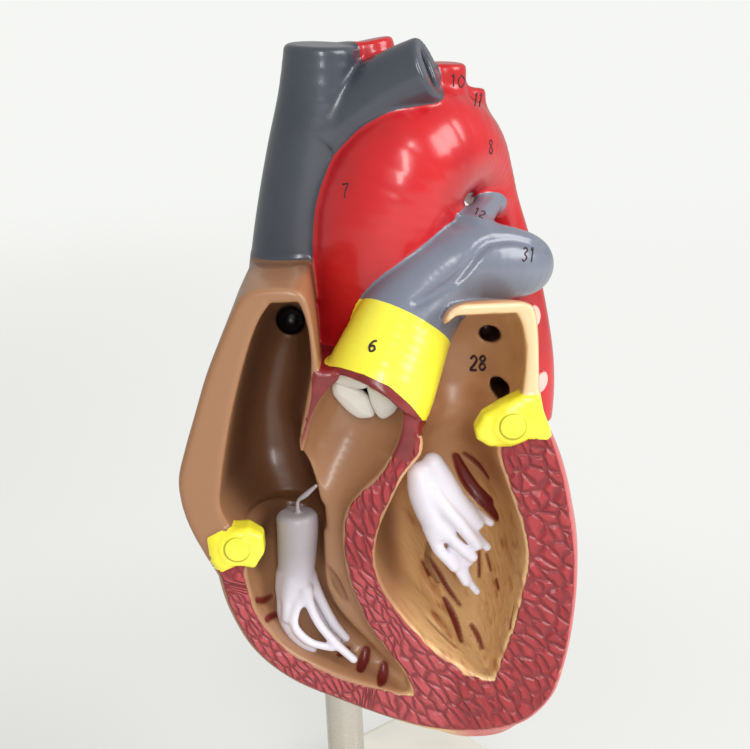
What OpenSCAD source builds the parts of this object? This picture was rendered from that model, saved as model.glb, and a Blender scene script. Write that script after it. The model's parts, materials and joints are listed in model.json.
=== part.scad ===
// Human heart model for teaching, opened along a flat frontal section, on a post and base.
// Millimetres. +Z is up, the section faces -Y, and the origin is under the post on the table.

/* [Stand] */
// Length of the base plate
base_length = 144; // [120:1:160]
// Width of the base plate
base_width = 118; // [100:1:140]
// Thickness of the base plate
base_thick = 12; // [11:1:16]
// Radius of the base plate's upright corners
base_corner = 12; // [8:1:20]
// Rounding of the base plate's top edge
base_edge = 3; // [1:0.5:4]
// Turn of the base plate under the heart, seen from above
base_turn = 39; // [0:1:90]
// Diameter of a rubber foot
foot_d = 12; // [8:1:16]
// Height of the feet below the base plate
foot_drop = 2; // [1:0.5:4]
// Outer diameter of the post
post_d = 8; // [7:0.5:8.5]
// Wall of the post tube
post_wall = 1; // [0.8:0.1:1.5]
// Height of the post's top above the table
post_top = 104; // [98:1:104]

/* [Swivel socket] */
// Wall of the loose bush between post and heart
bush_wall = 1.2; // [1:0.1:1.4]
// Wall of the cup that is set into the heart
cup_wall = 1.4; // [1:0.1:1.6]
// Height of the cup's mouth above the table
cup_mouth = 83; // [82:0.5:85]

/* [Heart] */
// Place of the flat section face, along Y
section_y = -20; // [-20.5:0.1:-19.5]
// Least wall between a chamber and a great vessel
lining = 1.4; // [1:0.1:2]
// How far the fat pads stand out of the section face
pad_rise = 0.8; // [0.4:0.1:1.2]
// Diameter of the disc magnets
magnet_d = 6; // [5:0.5:7]
// Thickness of the disc magnets
magnet_thick = 3; // [2:0.5:4]
// Radius of a tendon of the valves
tendon_r = 0.85; // [0.7:0.05:1]

/* [Hidden] */

$fn = 48;

// Clearances: a running fit, a glued joint and the gap where one piece rests on another
run_gap = 0.05;
glue_gap = 0.02;
rest_gap = 0.03;
flange_gap = 0.6;
big = 300;

// Heights of the stand, from the table up
base_top = foot_drop + base_thick;
post_seat = base_top - 7;
washer_top = post_seat - 1.5;
washer_thick = 1;
screw_d = 4;
head_d = 7;
head_thick = 2.2;
foot_in = 16;
foot_corners = [[1, 1], [-1, 1], [-1, -1], [1, -1]];
foot_sink = 1;

// Radii of the swivel socket, from the post outwards
post_r = post_d / 2;
bore_r = post_r - post_wall;
bush_in = post_r + run_gap;
bush_out = bush_in + bush_wall;
cup_in = bush_out + run_gap;
cup_out = cup_in + cup_wall;
bush_roof = 2;
cup_roof = 2;
flange_thick = 1.5;
flange_r = cup_out + 1;
cup_top = post_top + bush_roof + 0.3 + cup_roof;

// Chambers and walls, one row per level: height, left, right, front and back.
// Each level is a rounded oval, and what is in front of the section face is cut away.
ventricle_rows = [[71.6, 25, 31, -14, -8], [72.8, 20, 35.5, -17, -4], [75.3, 14.5, 39.3, -19.3, 1],
    [78.5, 9, 41.9, -24, 5.5], [83.5, -0.5, 44.6, -30, 11], [89, -10.5, 46.2, -34, 16],
    [96, -17.6, 47.6, -37, 20.5], [105, -21.8, 48.6, -39, 24], [113, -23.4, 48.7, -40, 25.5],
    [118, -23.8, 48.3, -40, 25.5], [122, -20.5, 47.6, -40, 25], [127, -13, 46.6, -40, 24],
    [132, -5, 45.2, -40, 22.5], [136, 0, 43.6, -40, 21], [139.5, 4, 41.4, -40, 18]];
right_atrium_rows = [[112, -19, -2, -40, 12], [115, -23, -1.5, -42, 14.5], [120, -25.8, -1, -42, 16],
    [126, -27.7, -1, -42, 16.5], [132, -28.1, -1.6, -42, 16.5], [138, -26.4, -2, -42, 16.5],
    [145, -23.9, -1.6, -42, 16], [152, -21.4, -0.4, -40, 15.5], [158, -18.7, -0.6, -38, 15],
    [163, -16.4, -1, -34, 14], [166.4, -14.9, -1.4, -28, 13.4], [168.4, -13.9, -1.6, -18, 13],
    [169.6, -13.2, -1.8, -8, 12.6]];
left_atrium_rows = [[134, 20, 42, -48, 17], [139, 19, 41.6, -46, 19], [145, 19.5, 40.5, -44, 19.5],
    [150, 20.5, 40.3, -42, 17.5], [154, 21.5, 40.2, -40, 13], [158, 22, 40, -38, 5],
    [161.3, 23, 39.6, -34, -6], [163, 24, 39, -30, -13], [164, 25.5, 37.6, -27, -18]];
right_atrium_hollow = [[120, -17.5, -1.6, -42, 4], [126, -20.3, -1.9, -42, 8],
    [132, -19.8, -2.9, -42, 9], [138, -18.6, -3.8, -42, 9], [145, -16.9, -2.8, -42, 8],
    [152, -14.8, -1.5, -40, 6], [158, -12.7, -1.8, -36, 2], [162.5, -10.6, -2.4, -32, -4],
    [165.4, -8.4, -3.4, -29, -11]];
right_ventricle_hollow = [[85.3, 12, 14.3, -24, -18], [86.5, 9, 14, -26, -16],
    [89, 2.5, 11.8, -28, -13.5], [92, -3.5, 9, -30, -11.5], [96, -9.2, 5.5, -32, -10],
    [100, -12.3, 2.5, -34, -9.4], [104, -14.7, 0.5, -36, -9.2], [108.5, -15.9, -0.5, -38, -8.6],
    [113, -16.2, -1.2, -40, -4], [118, -14.4, -1.4, -42, 1], [123, -14.2, -1.6, -42, 4]];
left_atrium_hollow = [[135, 20, 31, -42, 0], [139, 18, 33, -42, 1], [144, 17, 36.2, -40, 2],
    [150, 18, 37.3, -38, 1], [155, 20, 37.5, -36, -2], [159, 22, 37, -32, -8],
    [161.6, 25, 36, -28, -14]];
left_ventricle_hollow = [[87.8, 28.8, 30.6, -26, -16], [90, 25.5, 31.2, -30, -12],
    [95, 19.5, 33, -36, -4], [101, 14.4, 35, -40, 2], [108, 10.2, 36.5, -42, 6],
    [114, 8.5, 37.4, -42, 7], [120, 9.2, 36.6, -42, 6.5], [126, 11.3, 34.8, -42, 5],
    [131, 13.6, 33.2, -42, 3], [135, 17, 31.6, -42, 1], [138, 19.8, 30.8, -42, -1]];

// Vessels and channels, one row per station along the centre line: X, Y, Z and radius
outflow_channel = [[13.4, -18, 86.5, 1.2], [11.4, -18, 88.5, 2.4], [7.6, -18, 92.5, 3.4],
    [3.4, -18.2, 98, 3.9], [0.6, -18.6, 104, 4.2], [-1.2, -19, 110, 4.2], [-2, -19, 117, 4.3],
    [-1.8, -19, 123, 4.4], [-0.5, -19, 128, 4.8], [1.8, -18.6, 133, 6.6],
    [4.6, -18.5, 138, 8.3], [6.4, -18.2, 142.2, 8.6], [7.4, -16.8, 145.6, 7.2],
    [7.9, -13.8, 147.8, 6.5]];
pulmonary_path = [[5.8, -16, 138, 10.8], [9.7, -13.5, 145.6, 10.9], [12.9, -10.5, 151.9, 10.2],
    [16.1, -7.5, 157.9, 9.4], [19, -5.5, 161.8, 9], [23, -4, 165.7, 8.4], [28, -3, 168.2, 8],
    [33.4, -2, 168, 7.5], [38, 0, 167.1, 6.8], [40.4, 5, 166, 6.2], [41, 10.5, 165.2, 6]];
ring_from = 1;
ring_to = 3;
right_pulmonary_path = [[30, 7, 164.5, 4.5], [22, 19, 163.5, 5.2], [10, 24, 163.5, 5.6],
    [-3, 20.5, 164, 5.5], [-14, 15.5, 164, 5.2]];
ligament_path = [[28.6, -3, 173.4, 4.4], [30.6, 2, 175, 3.4], [33.6, 9, 177, 2.6], [36.4, 16, 178, 2.2]];
aorta_path = [[9, 7.5, 138, 11.5], [9.3, 7.5, 147, 12], [9.8, 7.4, 155, 12.7],
    [10.6, 6.6, 163, 13.4], [11.6, 4.8, 171, 14], [13.6, 3, 179.5, 14], [18, 3, 187.2, 13],
    [24.3, 7, 190, 11], [29.6, 12, 188, 8.6], [33.9, 16.5, 182.4, 6.2],
    [36.8, 19, 176, 4.9], [39, 21.3, 168, 5.2], [41.6, 23.8, 156, 5.8],
    [43.5, 25.6, 143, 6.2], [44, 26.2, 134, 6.2], [44, 26.2, 126, 5.6]];
arch_end = 10;
brachiocephalic_path = [[14.5, 8, 192, 5], [12.6, 7.4, 203, 4.8], [11.4, 7, 210.4, 4.6]];
carotid_path = [[25, 8.5, 193, 4.5], [25.6, 8, 200, 4.3], [26, 7.6, 205.6, 4.1]];
subclavian_path = [[29.6, 11.5, 190, 4.1], [30.2, 11.6, 195, 3.8], [30.6, 11.8, 200.6, 3.6]];
cava_path = [[-5.6, 7, 164, 8.9], [-4.9, 6.6, 170, 8.9], [-3, 6, 180, 8.7], [-0.8, 5, 190, 8.4],
    [1.4, 3.4, 200, 7.8], [2.3, 2.4, 210, 6.8]];
cava_foot = 1;
left_vein_path = [[3, 3, 193.5, 6.6], [8.5, 2, 197.5, 6.6], [15.5, 0.2, 202, 6.4],
    [22.4, -2, 204.9, 6.1]];
vein_mouth = [2, 3.5];
vein_mouth_depth = 8;
inferior_cava_path = [[-13.5, 12, 122, 6.8], [-14, 15.5, 115, 7.4], [-14.6, 18, 109, 7.5],
    [-15, 19.5, 103, 7.3]];
left_atrium_back = [[32, 5, 148, 12], [18, 13.5, 149, 11.5], [5, 17, 149, 9.5], [-1, 17.5, 149, 8]];
pulmonary_veins = [[[33, 12, 153, 4], [38.5, 8.6, 154.4, 3.2], [43.2, 5, 155.2, 2.4]],
    [[33, 12.5, 143, 4.2], [39.5, 9, 141.8, 3.4], [44.6, 5, 141, 2.5]],
    [[2, 19, 153.4, 4], [-5, 22.5, 153.8, 3.8], [-12, 24.5, 154, 3.6]],
    [[2, 20, 144.5, 4.2], [-5, 23.5, 143.5, 4], [-12, 25.5, 143, 3.8]]];
sinus_path = [[-11, 19.8, 124, 2.2], [0, 23.2, 128, 2.6], [12, 24.4, 132, 2.7],
    [24, 22.8, 136.5, 2.4], [35, 18.4, 137.5, 1.9], [41.5, 9, 136.6, 1.4]];
rear_vein_path = [[3, 24.2, 127, 1.7], [4, 25.2, 118, 1.7], [7, 24, 107, 1.6], [11, 20.6, 97, 1.6],
    [15, 15, 88, 1.5], [18.5, 6.8, 79.5, 1.4], [20.5, -3, 74, 1.3], [21, -12.5, 72.6, 1.2]];
rear_artery_offset = [3.6, -0.2, -0.8, -0.3];

// Outlines of the pieces that show in the section face: X and Z
septum_zone = [[-2.8, 147], [-3, 134], [-1.6, 120], [-1.8, 110], [0.5, 102], [6, 94.5],
    [13.5, 86], [10.5, 70], [31.5, 70], [30, 88.5], [24, 95], [18, 103], [14, 112],
    [15, 122], [21, 133], [22.5, 141], [20, 147]];
left_zone = [[31.5, 60], [9, 60], [13.5, 86], [5.5, 112], [5.5, 145], [60, 145], [60, 60]];
right_pad_outline = [[-23.6, 120.6], [-20.4, 122.2], [-15.5, 122.3], [-12.8, 120.4],
    [-12.7, 116.8], [-14.8, 113.6], [-17.8, 114.6], [-21.4, 113], [-23.2, 115.6]];
left_pad_outline = [[28, 140], [29.6, 142.6], [33, 144.6], [36.8, 146.4], [40.3, 146.4],
    [40.9, 143], [42.3, 139], [41.8, 137.2], [38.2, 137.6], [34.8, 136.3], [30.6, 136.4], [28.3, 138]];
pad_depth = 5;
magnet_right_at = [-17.7, 118.3];
magnet_left_at = [35, 140.6];

// Valves: the ring of the pulmonary valve, and the tendons of the two inner valves
valve_at = [7.8, -14.6, 147.4];
valve_r = 6.2;
valve_tilt = 73;
valve_swing = 78;
valve_turn = 52;
cusp_thick = 1;
cusp_bulge = 1.5;
tricuspid_skirt = [[-6.1, -12, 122.2, 4.6], [-6.5, -11.8, 117, 4.3], [-7, -11.8, 111.5, 4.2],
    [-7.2, -12, 107, 4.5]];
tricuspid_tendons = [
    [[-11, -12, 109, 1.1], [-11.7, -12, 102, 1], [-10.4, -12.5, 96, 1.1], [-7.4, -13, 93.2, 1]],
    [[-9.7, -15, 109.3, 1.1], [-10, -14.8, 101, 1], [-8, -15, 95.5, 1], [-5, -15.2, 91.5, 1]],
    [[-7.1, -15.9, 109.1, 1.1], [-6.6, -16, 101, 1], [-4.6, -16, 95.5, 1], [-1.6, -16, 91, 1]],
    [[-4.9, -15.2, 109.4, 1.1], [-3.2, -15.5, 101.5, 1], [-0.4, -16, 95.5, 1], [1.6, -16.4, 90, 1]],
    [[-3.3, -13, 109, 1.1], [-1.8, -14, 101, 1], [1.8, -15.5, 95, 1], [5, -17, 88.6, 1]],
    [[-5.2, -8.6, 109.2, 1.1], [-4.8, -10, 101, 1], [-2.4, -11.4, 96, 1], [0, -12.2, 91.5, 1]]];
mitral_skirt = [[19.4, -12, 134, 4.4], [20, -12, 129.5, 4.5], [21.2, -12, 124, 4.8],
    [22.8, -12, 119, 5.4]];
mitral_tendons = [
    [[18.2, -13, 120, 1], [19.4, -13, 115, 1], [21.4, -12, 110, 1], [22.6, -9, 104.5, 1]],
    [[19.6, -16, 120, 1], [21.4, -16, 114, 1], [23.6, -15, 108, 1], [25, -10, 101.5, 1]],
    [[21.7, -16.8, 121.2, 1.1], [23.6, -16.6, 113, 1], [26, -15, 106, 1], [28, -9.5, 99, 1]],
    [[24.1, -16.3, 120.6, 1.1], [26.4, -16, 113, 1], [28.8, -13, 106.5, 1], [31.4, -8, 101, 1]],
    [[26.4, -14.6, 120.5, 1], [28.8, -13.5, 115, 1], [31, -11, 109, 1], [34.4, -7, 104, 1]],
    [[27.6, -12, 121.5, 1], [30.2, -11, 117.5, 1], [33, -9, 112.5, 1], [36.4, -6, 109, 1]]];
skirt_wall = 0.9;

// Colours as painted on the model
skin_tone = [0.80, 0.58, 0.42];
muscle_red = [0.66, 0.20, 0.22];
artery_red = [0.85, 0.13, 0.15];
vein_grey = [0.33, 0.35, 0.40];
lung_grey = [0.52, 0.55, 0.60];
fat_yellow = [0.98, 0.92, 0.25];
valve_white = [0.93, 0.93, 0.94];
base_cream = [0.96, 0.94, 0.88];
steel = [0.70, 0.69, 0.66];

// ---- Curves and skins ----

// Point between b and c on the smooth curve through a, b, c and d
function between(a, b, c, d, t) = 0.5 * (2 * b + (c - a) * t
    + (2 * a - 5 * b + 4 * c - d) * t * t + (3 * b - a - 3 * c + d) * t * t * t);

// The rows of a table with steps - 1 more between each pair
function smooth(rows, steps) = [for (i = [0:len(rows) - 2]) for (j = [0:steps - 1])
    between(rows[max(i - 1, 0)], rows[i], rows[i + 1], rows[min(i + 2, len(rows) - 1)], j / steps),
    rows[len(rows) - 1]];

function unit(v) = v / norm(v);
function spot(row) = [row[0], row[1], row[2]];
function heading(rows, i) = unit(spot(rows[min(i + 1, len(rows) - 1)]) - spot(rows[max(i - 1, 0)]));
function square_to(v, way) = unit(v - (v * way) * way);
function signed_power(v, e) = sign(v) * pow(abs(v), e);

// One direction across the path at each station, carried along without twist
function across(rows) = [for (i = 0, v = square_to([0.31, 0.9, 0.3], heading(rows, 0));
    i < len(rows);
    i = i + 1, v = square_to(v, heading(rows, min(i, len(rows) - 1)))) v];

// Oval of one level: the squareness is 2 for an ellipse and more for a fuller oval
function oval(row, squareness, sides) = [for (k = [0:sides - 1]) let (a = 360 * k / sides)
    [(row[1] + row[2]) / 2 + (row[2] - row[1]) / 2 * signed_power(cos(a), 2 / squareness),
    (row[3] + row[4]) / 2 + (row[4] - row[3]) / 2 * signed_power(sin(a), 2 / squareness), row[0]]];

function hoop(row, way, side, sides) = [for (k = [0:sides - 1]) let (a = 360 * k / sides)
    spot(row) + row[3] * (cos(a) * side + sin(a) * cross(way, side))];

// Closed skin over a list of rings that all have the same number of points
module skin(rings) {
    sides = len(rings[0]);
    last = len(rings) - 1;
    walls = [for (i = [0:last - 1]) for (k = [0:sides - 1])
        let (a = i * sides + k, b = i * sides + (k + 1) % sides)
        each [[a, a + sides, b + sides], [a, b + sides, b]]];
    polyhedron([for (ring = rings) each ring], concat([[for (k = [0:sides - 1]) k]],
        [[for (k = [sides - 1:-1:0]) last * sides + k]], walls), convexity = 10);
}

// Solid through the levels of a table
module loft(rows, steps = 1, squareness = 2.4, sides = 22) {
    skin([for (row = smooth(rows, steps)) oval(row, squareness, sides)]);
}

// Round solid along the stations of a path, from one station to another or over all of it
module tube(rows, steps = 2, sides = 14, grow = 0, from = 0, to = 99) {
    path = smooth(rows, steps);
    side = across(path);
    skin([for (i = [from * steps:min(to * steps, len(path) - 1)]) let (row = path[i])
        hoop([row[0], row[1], row[2], row[3] + grow], heading(path, i), side[i], sides)]);
}

// Makes one closed skin of the shapes inside it
module one_skin() {
    resize([0, 0, 0]) children();
}

module behind_section() {
    intersection() {
        children();
        translate([-big / 2, section_y, 0]) cube([big, big, big]);
    }
}

module upright(outline, front, back) {
    translate([0, back, 0]) rotate([90, 0, 0]) linear_extrude(back - front) polygon(outline);
}

// ---- Forms that several pieces share ----

module ventricle_form() {
    loft(ventricle_rows);
    translate([0, 0, cup_mouth]) cylinder(h = 14, r = cup_out + 2.6, $fn = 32);
}

// Room for the socket cup, and for the bush's flange below its mouth, both a little wider
// than they need be so that the flats stay outside them
module cup_room(grow = 0) {
    translate([0, 0, cup_mouth - 20])
        cylinder(h = cup_top + 20 - cup_mouth + glue_gap + grow,
            r = (cup_out + glue_gap + grow) / cos(180 / 32), $fn = 32);
    translate([0, 0, cup_mouth - 20]) cylinder(h = 20, r = (flange_r + flange_gap) / cos(180 / 32), $fn = 32);
}

module aorta_form(grow = 0) {
    tube(aorta_path, grow = grow, sides = 20);
}

module pulmonary_form(grow = 0) {
    tube(pulmonary_path, grow = grow, sides = 20);
}

module right_chambers() {
    difference() {
        union() {
            loft(right_atrium_hollow, squareness = 2.6);
            loft(right_ventricle_hollow, squareness = 2.6);
            tube(outflow_channel, steps = 1, sides = 20);
        }
        aorta_form(grow = lining);
        cup_room(grow = lining);
    }
}

module left_chambers() {
    difference() {
        union() {
            loft(left_atrium_hollow, squareness = 2.6);
            loft(left_ventricle_hollow, squareness = 2.6);
        }
        aorta_form(grow = lining);
        pulmonary_form(grow = lining);
    }
}

module pad_form(outline) {
    upright(outline, section_y - pad_rise, section_y + pad_depth);
}

module pad_forms() {
    pad_form(right_pad_outline);
    pad_form(left_pad_outline);
}

module atrium_forms() {
    loft(right_atrium_rows);
    loft(left_atrium_rows, sides = 24);
    tube(left_atrium_back, sides = 20);
}

module magnet(at, grow = 0, sides = $fn) {
    translate([at[0], section_y - pad_rise, at[1]]) rotate([-90, 0, 0])
        translate([0, 0, grow > 0 ? -1 : 0])
        cylinder(h = magnet_thick + (grow > 0 ? 1 : 0), r = (magnet_d / 2 + grow)
            / (grow > 0 ? cos(180 / sides) : 1), $fn = sides);
}

// ---- Stand ----

module corner_post() {
    rotate_extrude($fn = 20) {
        square([base_corner, base_thick - base_edge]);
        translate([base_corner - base_edge, base_thick - base_edge])
            intersection() {
                circle(base_edge, $fn = 16);
                square(base_edge);
            }
        square([base_corner - base_edge, base_thick]);
    }
}

module at_foot(i) {
    rotate(base_turn) translate([foot_corners[i][0] * (base_length / 2 - foot_in),
        foot_corners[i][1] * (base_width / 2 - foot_in), 0]) children();
}

module base_plate() {
    color(base_cream) difference() {
        translate([0, 0, foot_drop]) rotate(base_turn) hull() {
            for (x = [-1, 1]) for (y = [-1, 1])
                translate([x * (base_length / 2 - base_corner), y * (base_width / 2 - base_corner), 0])
                    corner_post();
        }
        translate([0, 0, post_seat]) cylinder(h = big, r = post_r + glue_gap);
        cylinder(h = post_seat + 1, r = screw_d / 2 + 0.2);
        cylinder(h = washer_top, r = head_d / 2 + 2);
        for (i = [0:3]) at_foot(i) cylinder(h = foot_drop + foot_sink, r = foot_d / 2 + glue_gap);
    }
}

module foot(i) {
    color("dimgray") at_foot(i) rotate_extrude() polygon([[0, 0], [foot_d / 2 - 0.8, 0],
        [foot_d / 2, 0.8], [foot_d / 2, foot_drop + foot_sink], [0, foot_drop + foot_sink]]);
}

module post_tube() {
    color(steel) translate([0, 0, post_seat]) difference() {
        cylinder(h = post_top - 1 - post_seat, r = post_r);
        translate([0, 0, -1]) cylinder(h = post_top, r = bore_r);
    }
}

module post_insert() {
    color("silver") translate([0, 0, post_seat]) difference() {
        cylinder(h = 16, r = bore_r - glue_gap);
        translate([0, 0, -1]) cylinder(h = 18, r = screw_d / 2 + glue_gap);
    }
}

module post_screw() {
    color("silver") {
        translate([0, 0, washer_top - washer_thick]) cylinder(h = 16, r = screw_d / 2);
        translate([0, 0, washer_top - washer_thick - head_thick]) difference() {
            cylinder(h = head_thick, r = head_d / 2);
            translate([0, 0, -1]) cylinder(h = 2, r = 1.6, $fn = 6);
        }
    }
}

module post_washer() {
    color("silver") translate([0, 0, washer_top - washer_thick]) difference() {
        cylinder(h = washer_thick, r = head_d / 2 + 1.2);
        translate([0, 0, -1]) cylinder(h = 3, r = screw_d / 2 + 0.15);
    }
}

module post_cap() {
    color("dimgray") translate([0, 0, post_top - 1]) {
        cylinder(h = 1, r = post_r);
        translate([0, 0, -5]) cylinder(h = 5.5, r = bore_r - glue_gap);
    }
}

module socket_bush() {
    color("ivory") difference() {
        union() {
            translate([0, 0, cup_mouth - rest_gap - flange_thick])
                cylinder(h = flange_thick, r = flange_r);
            translate([0, 0, cup_mouth - 1])
                cylinder(h = post_top + bush_roof - cup_mouth + 1, r = bush_out);
        }
        translate([0, 0, cup_mouth - 10]) cylinder(h = post_top + rest_gap - cup_mouth + 10, r = bush_in);
    }
}

module socket_cup() {
    color("dimgray") difference() {
        translate([0, 0, cup_mouth]) cylinder(h = cup_top - cup_mouth, r = cup_out);
        translate([0, 0, cup_mouth - 1])
            cylinder(h = cup_top - cup_roof - cup_mouth + 1, r = cup_in);
    }
}

// ---- Walls of the heart ----

module septum_form() {
    upright(septum_zone, section_y - 20, 9);
}

module right_ventricle_wall() {
    color(muscle_red) one_skin() behind_section() difference() {
        ventricle_form();
        right_chambers();
        left_chambers();
        septum_form();
        upright(left_zone, section_y - 20, 60);
        pulmonary_form();
        pad_forms();
        cup_room();
    }
}

module left_ventricle_wall() {
    color(muscle_red) one_skin() behind_section() difference() {
        intersection() {
            ventricle_form();
            upright(left_zone, section_y - 20, 60);
        }
        right_chambers();
        left_chambers();
        septum_form();
        pulmonary_form();
        pad_forms();
        cup_room();
    }
}

module septum() {
    color(muscle_red) one_skin() behind_section() difference() {
        intersection() {
            ventricle_form();
            septum_form();
        }
        right_chambers();
        left_chambers();
        pulmonary_form();
        cup_room();
    }
}

module right_atrium_wall() {
    color(skin_tone) one_skin() behind_section() difference() {
        loft(right_atrium_rows);
        right_chambers();
        ventricle_form();
        pulmonary_form();
        aorta_form();
        tube(cava_path);
        pad_forms();
        translate([-6, -8, 160.4]) rotate([-62, 0, 0]) cylinder(h = 9, r = 3.9, $fn = 20);
    }
}

module left_atrium_wall() {
    color(skin_tone) one_skin() behind_section() difference() {
        union() {
            loft(left_atrium_rows, sides = 24);
            tube(left_atrium_back, sides = 20);
        }
        left_chambers();
        loft(right_atrium_rows);
        ventricle_form();
        pulmonary_form();
        aorta_form();
        pad_forms();
        for (path = pulmonary_veins) tube(path, sides = 12);
        tube(right_pulmonary_path);
        translate([32.8, -6, 153.8]) rotate([-90, 0, 0]) cylinder(h = 8, r = 2.3, $fn = 16);
        translate([34.6, -6, 143.2]) rotate([-90, 0, 0]) cylinder(h = 8, r = 2.1, $fn = 16);
    }
}

// ---- Pulmonary trunk and its valve ----

module outflow_rim() {
    color(muscle_red) one_skin() behind_section() difference() {
        tube(pulmonary_path, sides = 20, to = ring_from);
        right_chambers();
        left_chambers();
        aorta_form();
    }
}

module pulmonary_ring() {
    color(fat_yellow) one_skin() difference() {
        tube(pulmonary_path, sides = 20, from = ring_from, to = ring_to);
        tube(outflow_channel, steps = 1, sides = 20);
    }
}

module pulmonary_trunk() {
    color(lung_grey) tube(pulmonary_path, sides = 20, from = ring_to);
}

module right_pulmonary_artery() {
    color(vein_grey) one_skin() difference() {
        tube(right_pulmonary_path);
        aorta_form();
        pulmonary_form();
        loft(right_atrium_rows);
        tube(cava_path);
    }
}

module arterial_ligament() {
    color(lung_grey) one_skin() difference() {
        tube(ligament_path, sides = 12);
        aorta_form();
        pulmonary_form();
    }
}

// One of three pocket leaflets, which bulge down towards the ventricle and end at the ring's wall
module pulmonary_cusp(i) {
    leaf = [for (k = [0:8]) [0.4 + (valve_r - 0.4) * k / 8, -cusp_bulge * sin(180 * k / 8)]];
    color(valve_white) one_skin() intersection() {
        translate(valve_at) rotate([0, valve_tilt, valve_swing])
            rotate(valve_turn + 120 * i) rotate_extrude(angle = 114, $fn = 36)
                polygon(concat(leaf, [[valve_r, cusp_thick], [0.4, cusp_thick]]));
        tube(outflow_channel, steps = 1, sides = 20);
    }
}

// ---- Arteries ----

module ascending_aorta() {
    color(artery_red) one_skin() difference() {
        tube(aorta_path, sides = 20, to = arch_end);
        ventricle_form();
        pulmonary_form();
    }
}

module descending_aorta() {
    color(artery_red) one_skin() difference() {
        tube(aorta_path, sides = 20, from = arch_end);
        ventricle_form();
        atrium_forms();
        tube(pulmonary_veins[0], sides = 12);
        tube(pulmonary_veins[1], sides = 12);
    }
}

module brachiocephalic_trunk() {
    color(artery_red) one_skin() difference() {
        tube(brachiocephalic_path, sides = 14);
        aorta_form();
        tube(cava_path);
        tube(left_vein_path);
    }
}

module left_carotid_artery() {
    color(artery_red) one_skin() difference() {
        tube(carotid_path, sides = 14);
        aorta_form();
        tube(left_vein_path);
    }
}

module left_subclavian_artery() {
    color(artery_red) one_skin() difference() {
        tube(subclavian_path, sides = 14);
        aorta_form();
        tube(carotid_path, sides = 14);
    }
}

// ---- Veins ----

module superior_vena_cava() {
    color(vein_grey) one_skin() difference() {
        tube(cava_path, from = cava_foot);
        aorta_form();
    }
}

// The cut end of the vein has an upright oval mouth
module left_brachiocephalic_vein() {
    last = len(left_vein_path) - 1;
    way = heading(left_vein_path, last);
    color(vein_grey) one_skin() difference() {
        tube(left_vein_path);
        tube(cava_path);
        aorta_form();
        translate(spot(left_vein_path[last])) rotate([0, acos(way[2]), atan2(way[1], way[0])])
            translate([0, 0, -vein_mouth_depth]) scale([vein_mouth[1], vein_mouth[0], 1])
                cylinder(h = 2 * vein_mouth_depth, r = 1, $fn = 16);
    }
}

module inferior_vena_cava() {
    color(vein_grey) one_skin() difference() {
        tube(inferior_cava_path);
        loft(right_atrium_rows);
        ventricle_form();
    }
}

module pulmonary_vein(i) {
    color(artery_red) one_skin() difference() {
        tube(pulmonary_veins[i - 1], sides = 12);
        loft(right_atrium_rows);
        left_chambers();
        ventricle_form();
        tube(right_pulmonary_path);
    }
}

// ---- Inner valves ----

// A sleeve of leaflets that is closed below, with tendons that run down to the wall
module valve_form(skirt, tendons) {
    thinner = [0, 0, 0, -skirt_wall];
    difference() {
        tube(skirt, steps = 1);
        tube(concat([2 * skirt[0] - skirt[1] + thinner],
            [for (i = [0:len(skirt) - 2]) skirt[i] + thinner]), steps = 1);
    }
    for (path = tendons)
        tube([for (row = path) [row[0], row[1], row[2], row[3] * tendon_r]], steps = 1, sides = 6);
}

module tricuspid_valve() {
    color(valve_white) one_skin() intersection() {
        valve_form(tricuspid_skirt, tricuspid_tendons);
        right_chambers();
    }
}

module mitral_valve() {
    color(valve_white) one_skin() intersection() {
        valve_form(mitral_skirt, mitral_tendons);
        left_chambers();
    }
}

// ---- Fat pads, magnets and surface vessels ----

module right_fat_pad() {
    color(fat_yellow) one_skin() difference() {
        pad_form(right_pad_outline);
        magnet(magnet_right_at, glue_gap, 32);
    }
}

module left_fat_pad() {
    color(fat_yellow) one_skin() difference() {
        pad_form(left_pad_outline);
        magnet(magnet_left_at, glue_gap, 32);
    }
}

module magnet_right() {
    color("silver") magnet(magnet_right_at);
}

module magnet_left() {
    color("silver") magnet(magnet_left_at);
}

module coronary_sinus() {
    color(vein_grey) one_skin() difference() {
        tube(sinus_path, steps = 1, sides = 10);
        ventricle_form();
        atrium_forms();
        tube(inferior_cava_path);
        aorta_form();
        tube(pulmonary_veins[1], sides = 12);
    }
}

module posterior_vein() {
    color(vein_grey) one_skin() difference() {
        tube(rear_vein_path, steps = 1, sides = 8);
        ventricle_form();
        atrium_forms();
        tube(sinus_path, steps = 1, sides = 10);
    }
}

module posterior_artery() {
    color(artery_red) one_skin() difference() {
        tube([for (row = rear_vein_path) row + rear_artery_offset], steps = 1, sides = 8);
        ventricle_form();
        atrium_forms();
        tube(sinus_path, steps = 1, sides = 10);
        tube(rear_vein_path, steps = 1, sides = 8);
    }
}

// ---- Nodes ----

base_plate();
foot(0);  // foot_1
foot(1);  // foot_2
foot(2);  // foot_3
foot(3);  // foot_4
post_tube();
post_insert();
post_screw();
post_washer();
post_cap();
socket_bush();
socket_cup();
right_ventricle_wall();
left_ventricle_wall();
septum();
right_atrium_wall();
left_atrium_wall();
outflow_rim();
pulmonary_ring();
pulmonary_trunk();
right_pulmonary_artery();
arterial_ligament();
pulmonary_cusp(0);  // pulmonary_cusp_1
pulmonary_cusp(1);  // pulmonary_cusp_2
pulmonary_cusp(2);  // pulmonary_cusp_3
ascending_aorta();
descending_aorta();
brachiocephalic_trunk();
left_carotid_artery();
left_subclavian_artery();
superior_vena_cava();
left_brachiocephalic_vein();
inferior_vena_cava();
pulmonary_vein(1);  // pulmonary_vein_1
pulmonary_vein(2);  // pulmonary_vein_2
pulmonary_vein(3);  // pulmonary_vein_3
pulmonary_vein(4);  // pulmonary_vein_4
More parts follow.
